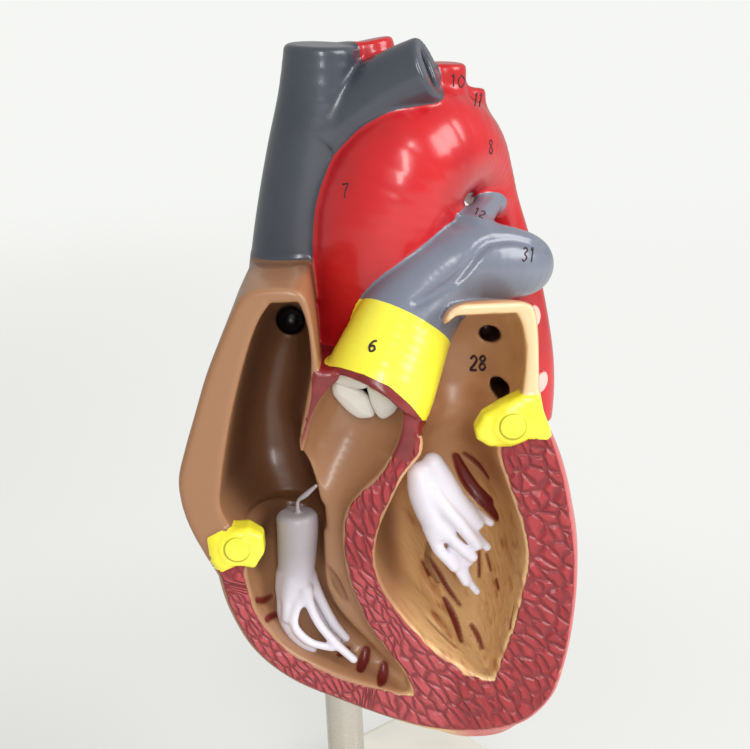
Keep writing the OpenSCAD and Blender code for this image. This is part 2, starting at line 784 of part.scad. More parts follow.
tricuspid_valve();
mitral_valve();
right_fat_pad();
left_fat_pad();
magnet_right();
magnet_left();
coronary_sinus();
posterior_vein();
posterior_artery();
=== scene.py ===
import json
import math

import bpy
import numpy as np
from mathutils import Matrix, Vector


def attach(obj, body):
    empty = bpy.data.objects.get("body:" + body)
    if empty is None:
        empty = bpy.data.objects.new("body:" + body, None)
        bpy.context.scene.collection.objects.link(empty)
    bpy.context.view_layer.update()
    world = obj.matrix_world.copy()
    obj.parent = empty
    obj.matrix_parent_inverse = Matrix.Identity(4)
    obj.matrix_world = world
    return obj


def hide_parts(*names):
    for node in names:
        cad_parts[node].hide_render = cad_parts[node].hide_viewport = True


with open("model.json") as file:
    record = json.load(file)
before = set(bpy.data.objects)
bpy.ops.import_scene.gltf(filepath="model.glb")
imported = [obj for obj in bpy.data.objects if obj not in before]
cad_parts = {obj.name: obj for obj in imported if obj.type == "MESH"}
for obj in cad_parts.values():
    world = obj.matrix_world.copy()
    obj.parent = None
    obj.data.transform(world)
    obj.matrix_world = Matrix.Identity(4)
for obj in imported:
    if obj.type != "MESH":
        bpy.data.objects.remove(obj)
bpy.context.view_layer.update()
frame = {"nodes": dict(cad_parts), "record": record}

# Human heart model for teaching: the painted casting, cut open along a frontal section, on its
# post and base. Tables are in millimetres in the frame's axes; meshes are made in metres.

MM = 0.001
scene = bpy.context.scene

# ---- Driving sizes, in millimetres ----

CELL = 0.5
FINE_CELL = 0.22
GRID_LOW = (-30.6, -26.6, 68.6)
GRID_HIGH = (51.6, 33.6, 213.4)
FAR = 9.0
PAD = 5.0
SECTION_Y = -20.0
LINING = 1.4
EDGE_ROUNDING = 1.1
PAINT_LAP = 0.4
ROOT_DEPTH = 4
ROOT_BACK_FRONT = -13
PROUD_STEP = 1.5
PAD_RISE = 0.8
PAD_DEPTH = 5.0
CUP_RADIUS = 6.76
CUP_TOP = 108.4
FLANGE_ROOM = 8.34
BOSS_RADIUS = 9.3
BOSS_LOW = 83.0
BOSS_HIGH = 97.0
MAGNETS = [[-17.7, 118.3], [35, 140.6]]
MAGNET_COVER = [3.4, -21.1, -17]
VALVE_AT = [7.8, -14.6, 147.4]
VALVE_AXIS = [0.199, 0.935, 0.292]
EYE = np.array([9.904, -222.431, 209.5])

# Chambers and walls, one row per level: height, left, right, front, back
VENTRICLE = [[71.6, 25, 31, -14, -8], [72.8, 20, 35.5, -17, -4], [75.3, 14.5, 39.3, -19.3, 1],
    [78.5, 9, 41.9, -24, 5.5], [83.5, -0.5, 44.6, -30, 11], [89, -10.5, 46.2, -34, 16],
    [96, -17.6, 47.6, -37, 20.5], [105, -21.8, 48.6, -39, 24], [113, -23.4, 48.7, -40, 25.5],
    [118, -23.8, 48.3, -40, 25.5], [122, -20.5, 47.6, -40, 25], [127, -13, 46.6, -40, 24],
    [132, -5, 45.2, -40, 22.5], [136, 0, 43.6, -40, 21], [139.5, 4, 41.4, -40, 18]]
RIGHT_ATRIUM = [[112, -19, -2, -40, 12], [115, -23, -1.5, -42, 14.5], [120, -25.8, -1, -42, 16],
    [126, -27.7, -1, -42, 16.5], [132, -28.1, -1.6, -42, 16.5], [138, -26.4, -2, -42, 16.5],
    [145, -23.9, -1.6, -42, 16], [152, -21.4, -0.4, -40, 15.5], [158, -18.7, -0.6, -38, 15],
    [163, -16.4, -1, -34, 14], [166.4, -14.9, -1.4, -28, 13.4], [168.4, -13.9, -1.6, -18, 13],
    [169.6, -13.2, -1.8, -8, 12.6]]
LEFT_ATRIUM = [[134, 20, 42, -48, 17], [139, 19, 41.6, -46, 19], [145, 19.5, 40.5, -44, 19.5],
    [150, 20.5, 40.3, -42, 17.5], [154, 21.5, 40.2, -40, 13], [158, 22, 40, -38, 5],
    [161.3, 23, 39.6, -34, -6], [163, 24, 39, -30, -13], [164, 25.5, 37.6, -27, -18]]
RIGHT_ATRIUM_HOLLOW = [[120, -17.5, -1.6, -42, 4], [126, -20.3, -1.9, -42, 8],
    [132, -19.8, -3.2, -42, 9], [138, -18.6, -4.8, -42, 9], [145, -16.9, -3.4, -42, 8],
    [152, -14.8, -1.9, -40, 6], [158, -12.7, -1.8, -36, 2], [162.5, -10.6, -2.4, -32, -4],
    [165.4, -8.4, -3.4, -29, -11]]
RIGHT_VENTRICLE_HOLLOW = [[85.3, 12, 14.3, -24, -18], [86.5, 9, 14, -26, -16],
    [89, 2.5, 11.8, -28, -13.5], [92, -3.5, 9, -30, -11.5], [96, -9.2, 5.5, -32, -10],
    [100, -12.3, 2.5, -34, -9.4], [104, -14.7, 0.5, -36, -9.2], [108.5, -15.9, -0.5, -38, -8.6],
    [113, -16.2, -1.2, -40, -4], [118, -14.4, -1.4, -42, 1], [123, -14.2, -1.6, -42, 4]]
LEFT_ATRIUM_HOLLOW = [[135, 20, 31, -42, 0], [139, 18, 33, -42, 1], [144, 15.5, 36.2, -40, 2],
    [150, 14.5, 37.3, -38, 1], [155, 17, 37.5, -36, -2], [159, 22, 37, -32, -8],
    [161.6, 25, 36, -28, -14]]
LEFT_VENTRICLE_HOLLOW = [[87.8, 28.8, 30.6, -26, -16], [90, 25.5, 31.2, -30, -12],
    [95, 19.5, 33, -36, -4], [101, 14.4, 35, -40, 2], [108, 10.2, 36.5, -42, 6],
    [114, 8.5, 37.4, -42, 7], [120, 9.3, 36.6, -42, 6.5], [126, 11.9, 34.8, -42, 5],
    [131, 14.5, 33.2, -42, 3], [135, 17.9, 31.6, -42, 1], [138, 20.6, 30.8, -42, -1]]

# Vessels and channels, one row per station along the centre line: X, Y, Z and radius
OUTFLOW_CHANNEL = [[13.4, -18, 86.5, 1.2], [11.4, -18, 88.5, 2.4], [7.6, -18, 92.5, 3.4],
    [3.4, -18.2, 98, 3.9], [0.6, -18.6, 104, 4.2], [-1.2, -19, 110, 4.2], [-2, -19, 117, 4.3],
    [-1.8, -19, 123, 4.4], [-0.5, -19, 128, 4.8], [1.6, -18.6, 133, 6.3],
    [4.4, -18.5, 138, 7.9], [6.3, -18.2, 142.2, 8.2], [7.6, -16.2, 145.6, 6.9],
    [8.1, -13.2, 147.6, 6]]
PULMONARY = [[5.8, -16, 138, 10.8], [9.7, -13.5, 145.6, 10.9], [12.9, -10.5, 151.9, 10.2],
    [16.1, -7.5, 157.9, 9.4], [19, -5.5, 161.8, 9], [23, -4, 165.7, 8.4], [28, -3, 168.2, 8],
    [33.4, -2, 168, 7.5], [38, 0, 167.1, 6.8], [40.4, 5, 166, 6.2], [41, 10.5, 165.2, 6]]
RING_FROM = 1
RING_TO = 3
RIGHT_PULMONARY = [[30, 7, 164.5, 4.5], [22, 19, 163.5, 5.2], [10, 24, 163.5, 5.6],
    [-3, 20.5, 164, 5.5], [-14, 15.5, 164, 5.2]]
LIGAMENT = [[28.6, -3, 173.4, 4.4], [30.6, 2, 175, 3.4], [33.6, 9, 177, 2.6], [36.4, 16, 178, 2.2]]
AORTA = [[9, 7.5, 138, 11.5], [9.3, 7.5, 147, 12], [9.8, 7.4, 155, 12.7],
    [10.6, 6.6, 163, 13.4], [11.6, 4.8, 171, 14], [13.6, 3, 179.5, 14], [18, 3, 187.2, 13],
    [24.3, 7, 190, 11], [29.6, 12, 188, 8.6], [33.9, 16.5, 182.4, 6.2],
    [36.8, 19, 176, 4.9], [39, 21.3, 168, 5.2], [41.6, 23.8, 156, 5.8],
    [43.5, 25.6, 143, 6.2], [44, 26.2, 134, 6.2], [44, 26.2, 126, 5.6]]
ARCH_END = 10
ARCH_SPLIT_X = 28
BRACHIOCEPHALIC = [[14.5, 8, 192, 5], [12.6, 7.4, 203, 4.8], [11.4, 7, 210.4, 4.6]]
CAROTID = [[25, 8.5, 193, 4.5], [25.6, 8, 200, 4.3], [26, 7.6, 205.6, 4.1]]
SUBCLAVIAN = [[29.6, 11.5, 190, 4.1], [30.2, 11.6, 195, 3.8], [30.6, 11.8, 200.6, 3.6]]
CAVA = [[-5.6, 7, 164, 8.9], [-4.9, 6.6, 170, 8.9], [-3, 6, 180, 8.7], [-0.8, 5, 190, 8.4],
    [1.4, 3.4, 200, 7.8], [2.3, 2.4, 210, 6.8]]
CAVA_FOOT = 1
LEFT_VEIN = [[3, 3, 193.5, 6.6], [8.5, 2, 197.5, 6.6], [15.5, 0.2, 202, 6.4], [22.4, -2, 204.9, 6.1]]
INFERIOR_CAVA = [[-13.5, 12, 122, 6.8], [-14, 15.5, 115, 7.4], [-14.6, 18, 109, 7.5],
    [-15, 19.5, 103, 7.3]]
LEFT_ATRIUM_BACK = [[32, 5, 148, 12], [18, 13.5, 149, 11.5], [5, 17, 149, 9.5], [-1, 17.5, 149, 8]]
PULMONARY_VEINS = [[[33, 12, 153, 4], [38.5, 8.6, 154.4, 3.2], [43.2, 5, 155.2, 2.4]],
    [[33, 12.5, 143, 4.2], [39.5, 9, 141.8, 3.4], [44.6, 5, 141, 2.5]],
    [[2, 19, 153.4, 4], [-5, 22.5, 153.8, 3.8], [-12, 24.5, 154, 3.6]],
    [[2, 20, 144.5, 4.2], [-5, 23.5, 143.5, 4], [-12, 25.5, 143, 3.8]]]
SINUS = [[-11, 19.8, 124, 2.2], [0, 23.2, 128, 2.6], [12, 24.4, 132, 2.7],
    [24, 22.8, 136.5, 2.4], [35, 18.4, 137.5, 1.9], [41.5, 9, 136.6, 1.4]]
REAR_VEIN = [[3, 24.2, 127, 1.7], [4, 25.2, 118, 1.7], [7, 24, 107, 1.6], [11, 20.6, 97, 1.6],
    [15, 15, 88, 1.5], [18.5, 6.8, 79.5, 1.4], [20.5, -3, 74, 1.3], [21, -12.5, 72.6, 1.2]]
REAR_ARTERY_OFFSET = [3.6, -0.2, -0.8, -0.3]

# Openings: the mouth in the cut vein, the inlet of the upper great vein and two vein mouths
VEIN_MOUTH = [2, 3.5, 8]
INLET = [[-5.9, -8, 159.6, 2.8], [-6.8, 7, 156, 2.7]]
VEIN_HOLES = [[[32.8, -8, 153.8, 1.9], [32.8, 3, 153.8, 1.7]],
    [[34.6, -8, 143.2, 1.7], [34.6, 3, 143.2, 1.5]]]

# Outlines of the pieces that show in the section face: X and Z
SEPTUM_ZONE = [[-2.8, 147], [-3, 134], [-1.6, 120], [-1.8, 110], [0.5, 102], [6, 94.5],
    [13.5, 86], [10.5, 70], [31.5, 70], [30, 88.5], [24, 95], [18, 103], [14, 112],
    [15, 122], [21, 133], [22.5, 141], [20, 147]]
LEFT_ZONE = [[31.5, 60], [9, 60], [13.5, 86], [5.5, 112], [5.5, 145], [60, 145], [60, 60]]
SEPTUM_BACK = 9
# The rest of the picture below the yellow paint, and the opening under the ring, as the eye sees them
BELOW_YELLOW = [
    [-5.5, 153.8], [-1.0, 153.8], [3.4, 153.2], [7.9, 151.6], [12.5, 149.1], [16.2, 145.4],
    [18.6, 141.8], [20.4, 145.1], [21.8, 149.5], [23.0, 154.4], [28.3, 154.2], [27.9, 132.0],
    [-6.8, 133.6]]
OPENING = [
    [-3.6, 140.0], [-2.2, 141.7], [-1.0, 144.6], [-0.2, 146.8], [0.5, 149.0], [1.2, 150.7],
    [2.2, 151.4], [3.5, 151.8], [5.7, 150.8], [7.9, 149.7], [10.1, 148.2], [12.4, 146.5],
    [14.1, 144.6], [14.8, 143.7], [15.2, 142.1], [15.0, 140.5], [13.9, 139.2]]
# The wall between right atrium and outflow channel, and what is behind it; the rim's strip in its face
ROOT_BACK = [[-5, 130], [-5, 139], [4, 139], [4, 130]]
ROOT = [[-4.6, 136.4], [-4.4, 141], [-3.3, 146], [-1.8, 152.4], [2.4, 152.4], [4, 147], [3, 137]]
RIM_STRIP = [[-4.5, 137], [-4.2, 139.9], [-3.1, 143.2], [-2, 147.6], [-1.5, 152.4],
    [2.6, 152.4], [0.5, 150.1], [-0.3, 146.2], [-1.6, 142.7], [-3.2, 139.8], [-4, 137]]
RIGHT_PAD = [[-23.6, 120.6], [-20.4, 122.2], [-15.5, 122.3], [-12.8, 120.4],
    [-12.7, 116.8], [-14.8, 113.6], [-17.8, 114.6], [-21.4, 113], [-23.2, 115.6]]
LEFT_PAD = [[28, 140], [29.6, 142.6], [33, 144.6], [36.8, 146.4], [40.3, 146.4],
    [40.9, 143], [42.3, 139], [41.8, 137.2], [38.2, 137.6], [34.8, 136.3], [30.6, 136.4], [28.3, 138]]

# Inner valves: leaflets and tendons as round stations, X, Y, Z and radius
TRICUSPID = [
    [[-6.6, -13, 124, 4.1], [-6.6, -13, 119, 4.1], [-7, -13, 114, 3.9], [-7.4, -13, 110, 3.7],
     [-7.9, -13.4, 106.6, 3.6]],
    [[-10, -13.6, 109, 1.3], [-10.3, -14, 104.5, 1.3], [-10.2, -14.4, 100.5, 1.4],
     [-8.6, -14.8, 97, 1.6], [-6.6, -15, 94.6, 1.6], [-5.2, -15, 93.4, 1.2]],
    [[-8.6, -15.6, 108, 1.3], [-9.3, -16, 104.4, 1], [-9.7, -16.2, 101, 0.9]],
    [[-5.6, -16, 106.4, 1.1], [-7.6, -16.6, 103, 0.9], [-8.2, -17, 100, 0.85], [-7.2, -17, 97.7, 0.85],
     [-5.2, -17, 95.8, 0.8], [-3.2, -17, 95, 0.75], [-1.2, -17, 94.4, 0.7]],
    [[-5.4, -16, 106.6, 1], [-4.6, -16.6, 103, 0.9], [-3.3, -17, 99.9, 0.85], [-1.6, -17, 97.2, 0.85],
     [0.7, -17, 94.3, 0.85], [3.2, -17, 91.6, 0.8]],
    [[-4.6, -13, 108, 1.2], [-3.2, -13.4, 104, 1.1], [-1.8, -13.6, 100.6, 1], [-0.2, -13.8, 97.4, 1],
     [1.8, -14, 94.8, 0.8]],
    [[-6.2, -9.6, 107, 1.6], [-5, -10, 102, 1.4], [-2.6, -10.6, 97, 1.2], [0, -11, 93, 1]],
    [[-6.2, -13.4, 121.4, 0.6], [-6.2, -13.4, 124.4, 0.35], [-4.6, -14, 126, 0.55], [-2.4, -15, 128.2, 0.35]]]
SLEEVE_TOP = 122.2
MITRAL = [
    [[17.6, -14, 129.4, 2.2], [18.4, -14, 126, 3], [19.8, -14, 121.6, 3], [21.2, -14, 117.6, 2.4]],
    [[20.3, -13.4, 131.2, 2], [21.8, -13, 127.6, 2.5], [24, -13, 123.6, 2.4], [26.6, -12.8, 120.4, 1.9],
     [28.8, -12.6, 118, 1.2]],
    [[20.4, -15.6, 126, 1.2], [22.4, -16, 122.8, 1.3], [24.6, -15.8, 120, 1.2], [26.6, -15, 117, 1.1],
     [28.6, -14, 113.9, 0.9]],
    [[19.6, -14.6, 118, 1.3], [20.8, -14.6, 114, 1.1], [22.4, -14.2, 111.6, 1], [23.8, -14, 109.4, 0.75]],
    [[22, -15, 118.6, 1.2], [23.8, -14.8, 115.6, 1], [25.8, -14.4, 113.2, 0.95], [27.6, -14, 111.4, 0.9]],
    [[22.6, -13, 117.6, 1.2], [24, -12.8, 113.8, 1], [25.6, -12.6, 111.4, 1], [27, -12.4, 109.8, 0.8]],
    [[25, -13.4, 119.4, 1.1], [27.4, -13.2, 116.6, 0.9], [30.6, -12.8, 112.9, 0.7]],
    [[27, -11.6, 121.4, 1], [29.4, -11.2, 119, 0.8], [31.6, -11, 117.2, 0.6]],
    [[23.4, -13.4, 112, 0.8], [24.8, -13.2, 108.4, 0.75], [26.2, -13, 105.6, 0.7]],
    [[25.6, -12.6, 109.6, 0.7], [27, -12.4, 105.4, 0.6], [28.5, -12.2, 103, 0.6]]]

# Leaflets of the outflow valve, as outlines seen from the front: X and Z in the section plane
CUSPS = [
    [[2.2, 149.7], [2.9, 150.2], [4.9, 149.5], [7.1, 148.5], [8.3, 147.2], [8.9, 145.5], [9.3, 143.9],
     [7.7, 143.6], [6.3, 143.9], [4.6, 145.3], [3.3, 146.9], [2.3, 148.4]],
    [[1.7, 151.1], [3.7, 152.2], [6, 152], [8.9, 150.3], [8.2, 149.4], [6.9, 149.3], [4.7, 149.9],
     [2.9, 150.6]],
    [[8.6, 149.2], [10.9, 148.4], [13.7, 146.2], [13.5, 144.9], [12.9, 144.2], [11.6, 143.4],
     [10.7, 143.5], [9.9, 144.5], [9.1, 146.6]]]

# Lines on the inner walls, seen from the front: X and Z in the section plane, and half the width
RED_LINES = [
    [[24.3, 134.9, 0.5], [25.9, 130.9, 1.2], [27.9, 127.5, 1.5], [30.3, 124.3, 1.2], [31.6, 122.3, 0.7]],
    [[26, 135.2, 0.3], [28.4, 133, 0.5], [30.2, 130.3, 0.3]],
    [[27.9, 128.9, 0.3], [30.7, 125.7, 0.5]],
    [[17.6, 113.9, 0.2], [18.8, 111.1, 0.3]],
    [[18.3, 115.3, 0.2], [20.1, 112.2, 0.3], [22.1, 108.2, 0.3], [24.5, 104.2, 0.15]],
    [[21.6, 105.8, 0.3], [23.3, 101.6, 0.5], [24.7, 96.5, 0.3]],
    [[26.6, 99.9, 0.2], [27.7, 97.7, 0.3], [28.6, 94.6, 0.2]],
    [[28.3, 115.3, 0.15], [28.2, 110.2, 0.15]],
    [[29.7, 114.7, 0.15], [30.5, 111.3, 0.15]],
    [[31.5, 109.2, 0.2], [31.9, 107.3, 0.2]],
    [[34.9, 103.7, 0.15], [34, 98.8, 0.2]],
    [[-14.8, 107.1, 0.3], [-13.4, 107, 0.4], [-11.8, 107.8, 0.2]],
    [[-13.2, 102.7, 0.2], [-12.3, 103.5, 0.4], [-11.1, 103.9, 0.3]],
    [[0.5, 94.6, 0.3], [1.5, 95.2, 0.5], [2.3, 95.8, 0.3]],
    [[4.5, 91.1, 0.5], [5.3, 93.1, 0.8], [5.8, 95.2, 0.6]],
    [[8.3, 87.6, 0.3], [8.9, 89.3, 0.8], [9.2, 91.8, 0.5]]]
# Lines of painted shade in grooves of the chambers' walls.
SHADE_LINES = [
    [[-0.7, 113.1, 0.2], [0.7, 110, 0.7], [2.3, 106.3, 0.3]],
    [[18.4, 101.4, 0.2], [20.5, 98.7, 0.3], [23.5, 95.3, 0.2]],
    [[19.6, 120.4, 0.2], [18.6, 114.2, 0.5], [20.4, 109.4, 0.3]]]
RIDGES = [
    [[-16.1, 123.2, 0.4], [-13.9, 125.7, 0.5], [-11.3, 127, 0.5], [-8.3, 127.3, 0.5], [-5.3, 126.7, 0.4]],
    [[-16.4, 122, 0.3], [-12.5, 120.8, 0.5], [-10, 121.5, 0.4]]]
FOLD = [[[18, 164.4, 0.5], [24.8, 168.2, 0.6], [30, 174.2, 0.6], [33, 175.3, 0.6], [36.8, 175.1, 0.6],
     [42.6, 172.7, 0.5]]]

# Length and width of a muscle bundle, and how much of each is lost where they are small
BUNDLE = [4.6, 1.7]
BUNDLE_CUT = [1.9, 0.45]

# Long axis of the muscle's bundles in the section face: X, Z and the angle from X in degrees
GRAIN = [[14.9, 137.5, -120], [9.1, 131.8, -110], [4.9, 122.9, -90], [5, 112.5, -80], [7.9, 101.7, -75],
    [12.4, 92.7, -65], [17.1, 84.7, -58], [22, 79.9, -60], [30, 80.7, -75], [35.1, 93.8, -40],
    [42, 112.9, -35], [40.1, 131.4, -32], [-17.9, 109.3, -60], [-14.3, 100.6, -55],
    [-7.3, 93.2, -55], [2.3, 86.5, -75], [12.1, 82.7, -75]]

# Numerals: text, X and Z of the middle in the section plane, width and height, slope in degrees
NUMERALS = [["7", 6.2, 185.1, 1.3, 2.4, -4, 0.2], ["6", 9.9, 156.9, 1.7, 2.3, -18, 0.3],
    ["8", 31.7, 191.6, 0.8, 2.4, 0, 0.2], ["10", 26.2, 202.9, 2.8, 2, -6, 0.2],
    ["11", 29.6, 199.6, 1.6, 2.1, -12, 0.2], ["12", 29.6, 180.2, 2.3, 1.2, -28, 0.2],
    ["31", 38.2, 172.4, 2.4, 2.4, -8, 0.22], ["28", 29, 152.8, 3.3, 2.7, -3, 0.36]]
DIGITS = {"0": [[(0.5, 1), (0.9, 0.7), (0.9, 0.3), (0.5, 0), (0.1, 0.3), (0.1, 0.7), (0.5, 1)]],
    "1": [[(0.3, 0.85), (0.55, 1), (0.6, 0)]],
    "2": [[(0.1, 0.8), (0.5, 1), (0.9, 0.75), (0.6, 0.4), (0.1, 0.02), (0.95, 0)]],
    "3": [[(0.1, 0.9), (0.5, 1), (0.85, 0.8), (0.45, 0.55), (0.9, 0.3), (0.5, 0), (0.1, 0.12)]],
    "6": [[(0.85, 0.95), (0.4, 0.8), (0.1, 0.35), (0.4, 0), (0.85, 0.2), (0.6, 0.5), (0.15, 0.35)]],
    "7": [[(0.05, 0.95), (0.95, 1), (0.55, 0.55), (0.4, 0)]],
    "8": [[(0.5, 0.55), (0.15, 0.8), (0.5, 1), (0.85, 0.8), (0.5, 0.55), (0.1, 0.25), (0.5, 0),
        (0.9, 0.25), (0.5, 0.55)]]}

# ---- Curves ----


def smooth(rows, steps):
    """The rows of a table on a smooth curve, with steps - 1 more between each pair."""
    rows = np.asarray(rows, float)
    out = []
    for i in range(len(rows) - 1):
        a, b = rows[max(i - 1, 0)], rows[i]
        c, d = rows[i + 1], rows[min(i + 2, len(rows) - 1)]
        for j in range(steps):
            t = j / steps
            out.append(0.5 * (2 * b + (c - a) * t + (2 * a - 5 * b + 4 * c - d) * t * t
                + (3 * b - a - 3 * c + d) * t ** 3))
    return np.array(out + [rows[-1]])


def unit(v):
    return v / np.linalg.norm(v)


def heading(rows, i):
    rows = np.asarray(rows, float)[:, :3]
    return unit(rows[min(i + 1, len(rows) - 1)] - rows[max(i - 1, 0)])


def step_up(x, low, high):
    t = np.clip((x - low) / (high - low), 0, 1)
    return t * t * (3 - 2 * t)


def soft_min(a, b, width):
    h = np.maximum(width - np.abs(a - b), 0) / width
    return np.minimum(a, b) - h * h * width / 4


def soft_max(a, b, width):
    return -soft_min(-a, -b, width)


def outline_distance(x, z, outline):
    """Signed distance to a closed outline, at points given by two arrays of one shape."""
    best = np.full(x.shape, 1e9)
    inside = np.zeros(x.shape, bool)
    for (ax, az), (bx, bz) in zip(outline, list(outline[1:]) + [outline[0]]):
        dx, dz = bx - ax, bz - az
        t = np.clip(((x - ax) * dx + (z - az) * dz) / (dx * dx + dz * dz), 0, 1)
        best = np.minimum(best, np.hypot(x - ax - t * dx, z - az - t * dz))
        side = (x - ax) * (bz - az) < (z - az) * (bx - ax)
        inside ^= ((az > z) != (bz > z)) & (side == (bz > az))
    return np.where(inside, -best, best).astype(np.float32)


# ---- Distance fields on a grid of voxels: negative inside a form ----


class Grid:
    """A box of voxels, and the forms that can be measured on it."""

    def __init__(self, low, high, cell):
        self.cell = cell
        self.axis = [np.arange(lo, hi, cell, dtype=np.float32) for lo, hi in zip(low, high)]
        self.origin = np.array([a[0] for a in self.axis], float)
        self.shape = tuple(len(a) for a in self.axis)
        self.x, self.y, self.z = np.meshgrid(*self.axis, indexing="ij", sparse=True)

    def blank(self):
        return np.full(self.shape, FAR, np.float32)

    def part(self, low, high):
        """The slices of a box of the grid, and its coordinates along each axis."""
        cut = tuple(slice(int(np.searchsorted(s, lo)), int(np.searchsorted(s, hi)))
            for s, lo, hi in zip(self.axis, low, high))
        return cut, [s[c].reshape([-1 if i == k else 1 for i in range(3)])
            for k, (s, c) in enumerate(zip(self.axis, cut))]

    def capsules(self, path, field=None, pad=PAD):
        """Adds the round solid along a path of X, Y, Z, radius to a field."""
        field = self.blank() if field is None else field
        for a, b in zip(path[:-1], path[1:]):
            reach = max(a[3], b[3]) + pad
            cut, place = self.part(np.minimum(a[:3], b[:3]) - reach, np.maximum(a[:3], b[:3]) + reach)
            px, py, pz = (p - start for p, start in zip(place, a))
            ab = b[:3] - a[:3]
            t = np.clip((px * ab[0] + py * ab[1] + pz * ab[2]) / max(ab @ ab, 1e-9), 0, 1)
            d = np.sqrt((px - t * ab[0]) ** 2 + (py - t * ab[1]) ** 2 + (pz - t * ab[2]) ** 2)
            field[cut] = np.minimum(field[cut], d - a[3] - t * (b[3] - a[3]))
        return field

    def plane(self, point, normal):
        """Distance past a plane, over the whole grid."""
        return ((self.x - point[0]) * normal[0] + (self.y - point[1]) * normal[1]
            + (self.z - point[2]) * normal[2]).astype(np.float32)

    def tube(self, rows, steps=4, round_end=1.2, open_start=False):
        """Round solid along a table's stations, with its ends cut square and a little rounded."""
        path = smooth(rows, steps)
        field = self.capsules(path)
        field = soft_max(field, self.plane(path[-1][:3], heading(path, len(path) - 1)), round_end)
        if not open_start:
            field = np.maximum(field, self.plane(path[0][:3], -heading(path, 0)))
        return np.minimum(field, FAR)

    def loft(self, rows, squareness=2.4, steps=6):
        """Solid through the levels of a table; each level is a fuller or plainer oval."""
        table = smooth(rows, steps)
        z = self.axis[2]
        left, right, front, back = (np.interp(z, table[:, 0], table[:, k]) for k in (1, 2, 3, 4))
        u = np.abs((self.x - (left + right) / 2) / ((right - left) / 2)).astype(np.float32)
        v = np.abs((self.y - (front + back) / 2) / ((back - front) / 2)).astype(np.float32)
        f = (u ** squareness + v ** squareness) ** np.float32(1 / squareness)
        slope = np.sqrt(sum(np.gradient(f, self.cell, axis=k) ** 2 for k in range(3)))
        d = np.maximum((f - 1) / np.maximum(slope, 0.02),
            np.maximum(table[0, 0] - self.z, self.z - table[-1, 0]))
        return np.clip(d, -20, FAR).astype(np.float32)

    def flat(self, outline):
        """Distance to an outline in X and Z, the same at every depth."""
        x, z = np.meshgrid(self.axis[0], self.axis[2], indexing="ij")
        return outline_distance(x, z, outline)[:, None, :]

    def upright(self, outline, front, back, rounding):
        """An outline in X and Z, carried from front to back."""
        ends = np.maximum(front - self.y, self.y - back)
        return soft_max(self.flat(outline), ends, rounding).astype(np.float32)

    def seen(self, outline, low=(-8, -27, 126), high=(26, 8, 168)):
        """An outline in the section plane, carried along the eye's lines of sight, in a box of the grid."""
        cut, (x, y, z) = self.part(low, high)
        share = (SECTION_Y - EYE[1]) / (y - EYE[1])
        field = self.blank()
        field[cut] = outline_distance(*np.broadcast_arrays(EYE[0] + (x - EYE[0]) * share + 0 * z,
            EYE[2] + (z - EYE[2]) * share + 0 * x), outline)
        return field

    def sample(self, field, points):
        """A field's value at points, between its voxels."""
        field = np.broadcast_to(field, self.shape)
        q = (points - self.origin) / self.cell
        i = np.clip(np.floor(q).astype(int), 0, np.array(self.shape) - 2)
        f = np.clip(q - i, 0, 1)
        out = 0
        for dx in (0, 1):
            for dy in (0, 1):
                for dz in (0, 1):
                    w = (np.where(dx, f[:, 0], 1 - f[:, 0]) * np.where(dy, f[:, 1], 1 - f[:, 1])
                        * np.where(dz, f[:, 2], 1 - f[:, 2]))
                    out = out + w * field[i[:, 0] + dx, i[:, 1] + dy, i[:, 2] + dz]
        return out

    def slope(self, field, points, reach=0.6):
        h = reach * self.cell
        return np.stack([(self.sample(field, points + h * e) - self.sample(field, points - h * e)) / (2 * h)
            for e in np.eye(3)], 1)


def sight(marks, grid, field, start=-16.0, end=60.0):
    """The points where lines of sight through marks in the section plane first meet a form."""
    marks = np.asarray(marks, float)
    place = np.stack([marks[:, 0], np.full(len(marks), SECTION_Y), marks[:, 1]], 1)
    way = place - EYE
    way /= np.linalg.norm(way, axis=1)[:, None]
    s = np.arange(start, end, 0.2)
    line = place[:, None, :] + way[:, None, :] * s[None, :, None]
    value = grid.sample(field, line.reshape(-1, 3)).reshape(len(marks), len(s))
    hit = np.argmax(value < 0, axis=1)
    at = s[hit] - np.clip(-value[np.arange(len(marks)), hit], 0, 0.2)
    return place + way * at[:, None], (value < 0).any(1) & (hit > 0)


def lines_on(lines, grid, field, steps=5):
    """Distance to lines that lie on a form where the eye sees them."""
    out = grid.blank()
    for line in lines:
        rows = smooth(line, steps)
        at, seen = sight(rows[:, :2], grid, field)
        path = np.concatenate([at, rows[:, 2:3] + 0.15], 1)
        for a, b, ok in zip(path[:-1], path[1:], seen[:-1] & seen[1:]):
            if ok and np.linalg.norm(b[:3] - a[:3]) < 5:
                grid.capsules(np.array([a, b]), out, 3)
    return out


G = Grid(GRID_LOW, GRID_HIGH, CELL)

pulmonary = G.tube(PULMONARY)
aorta = np.minimum(G.tube(AORTA[:8]), G.tube(AORTA[5:], open_start=True))
ring_low = G.plane(PULMONARY[RING_FROM][:3], heading(PULMONARY, RING_FROM))
ring_high = G.plane(PULMONARY[RING_TO][:3], heading(PULMONARY, RING_TO))
arch = G.plane(AORTA[ARCH_END][:3], heading(AORTA, ARCH_END))
cava = G.tube(CAVA)
cava_low = G.plane(CAVA[CAVA_FOOT][:3], heading(CAVA, CAVA_FOOT))
pads = []
for outline, (mx, mz) in zip((RIGHT_PAD, LEFT_PAD), MAGNETS):
    cover = soft_max(np.hypot(G.x - mx, G.z - mz) - MAGNET_COVER[0],
        np.maximum(MAGNET_COVER[1] - G.y, G.y - MAGNET_COVER[2]), 0.6)
    pads.append(soft_min(G.upright(outline, SECTION_Y - PAD_RISE, SECTION_Y + PAD_DEPTH, 1.6),
        cover.astype(np.float32), 0.8))
both_pads = np.minimum(pads[0], pads[1])
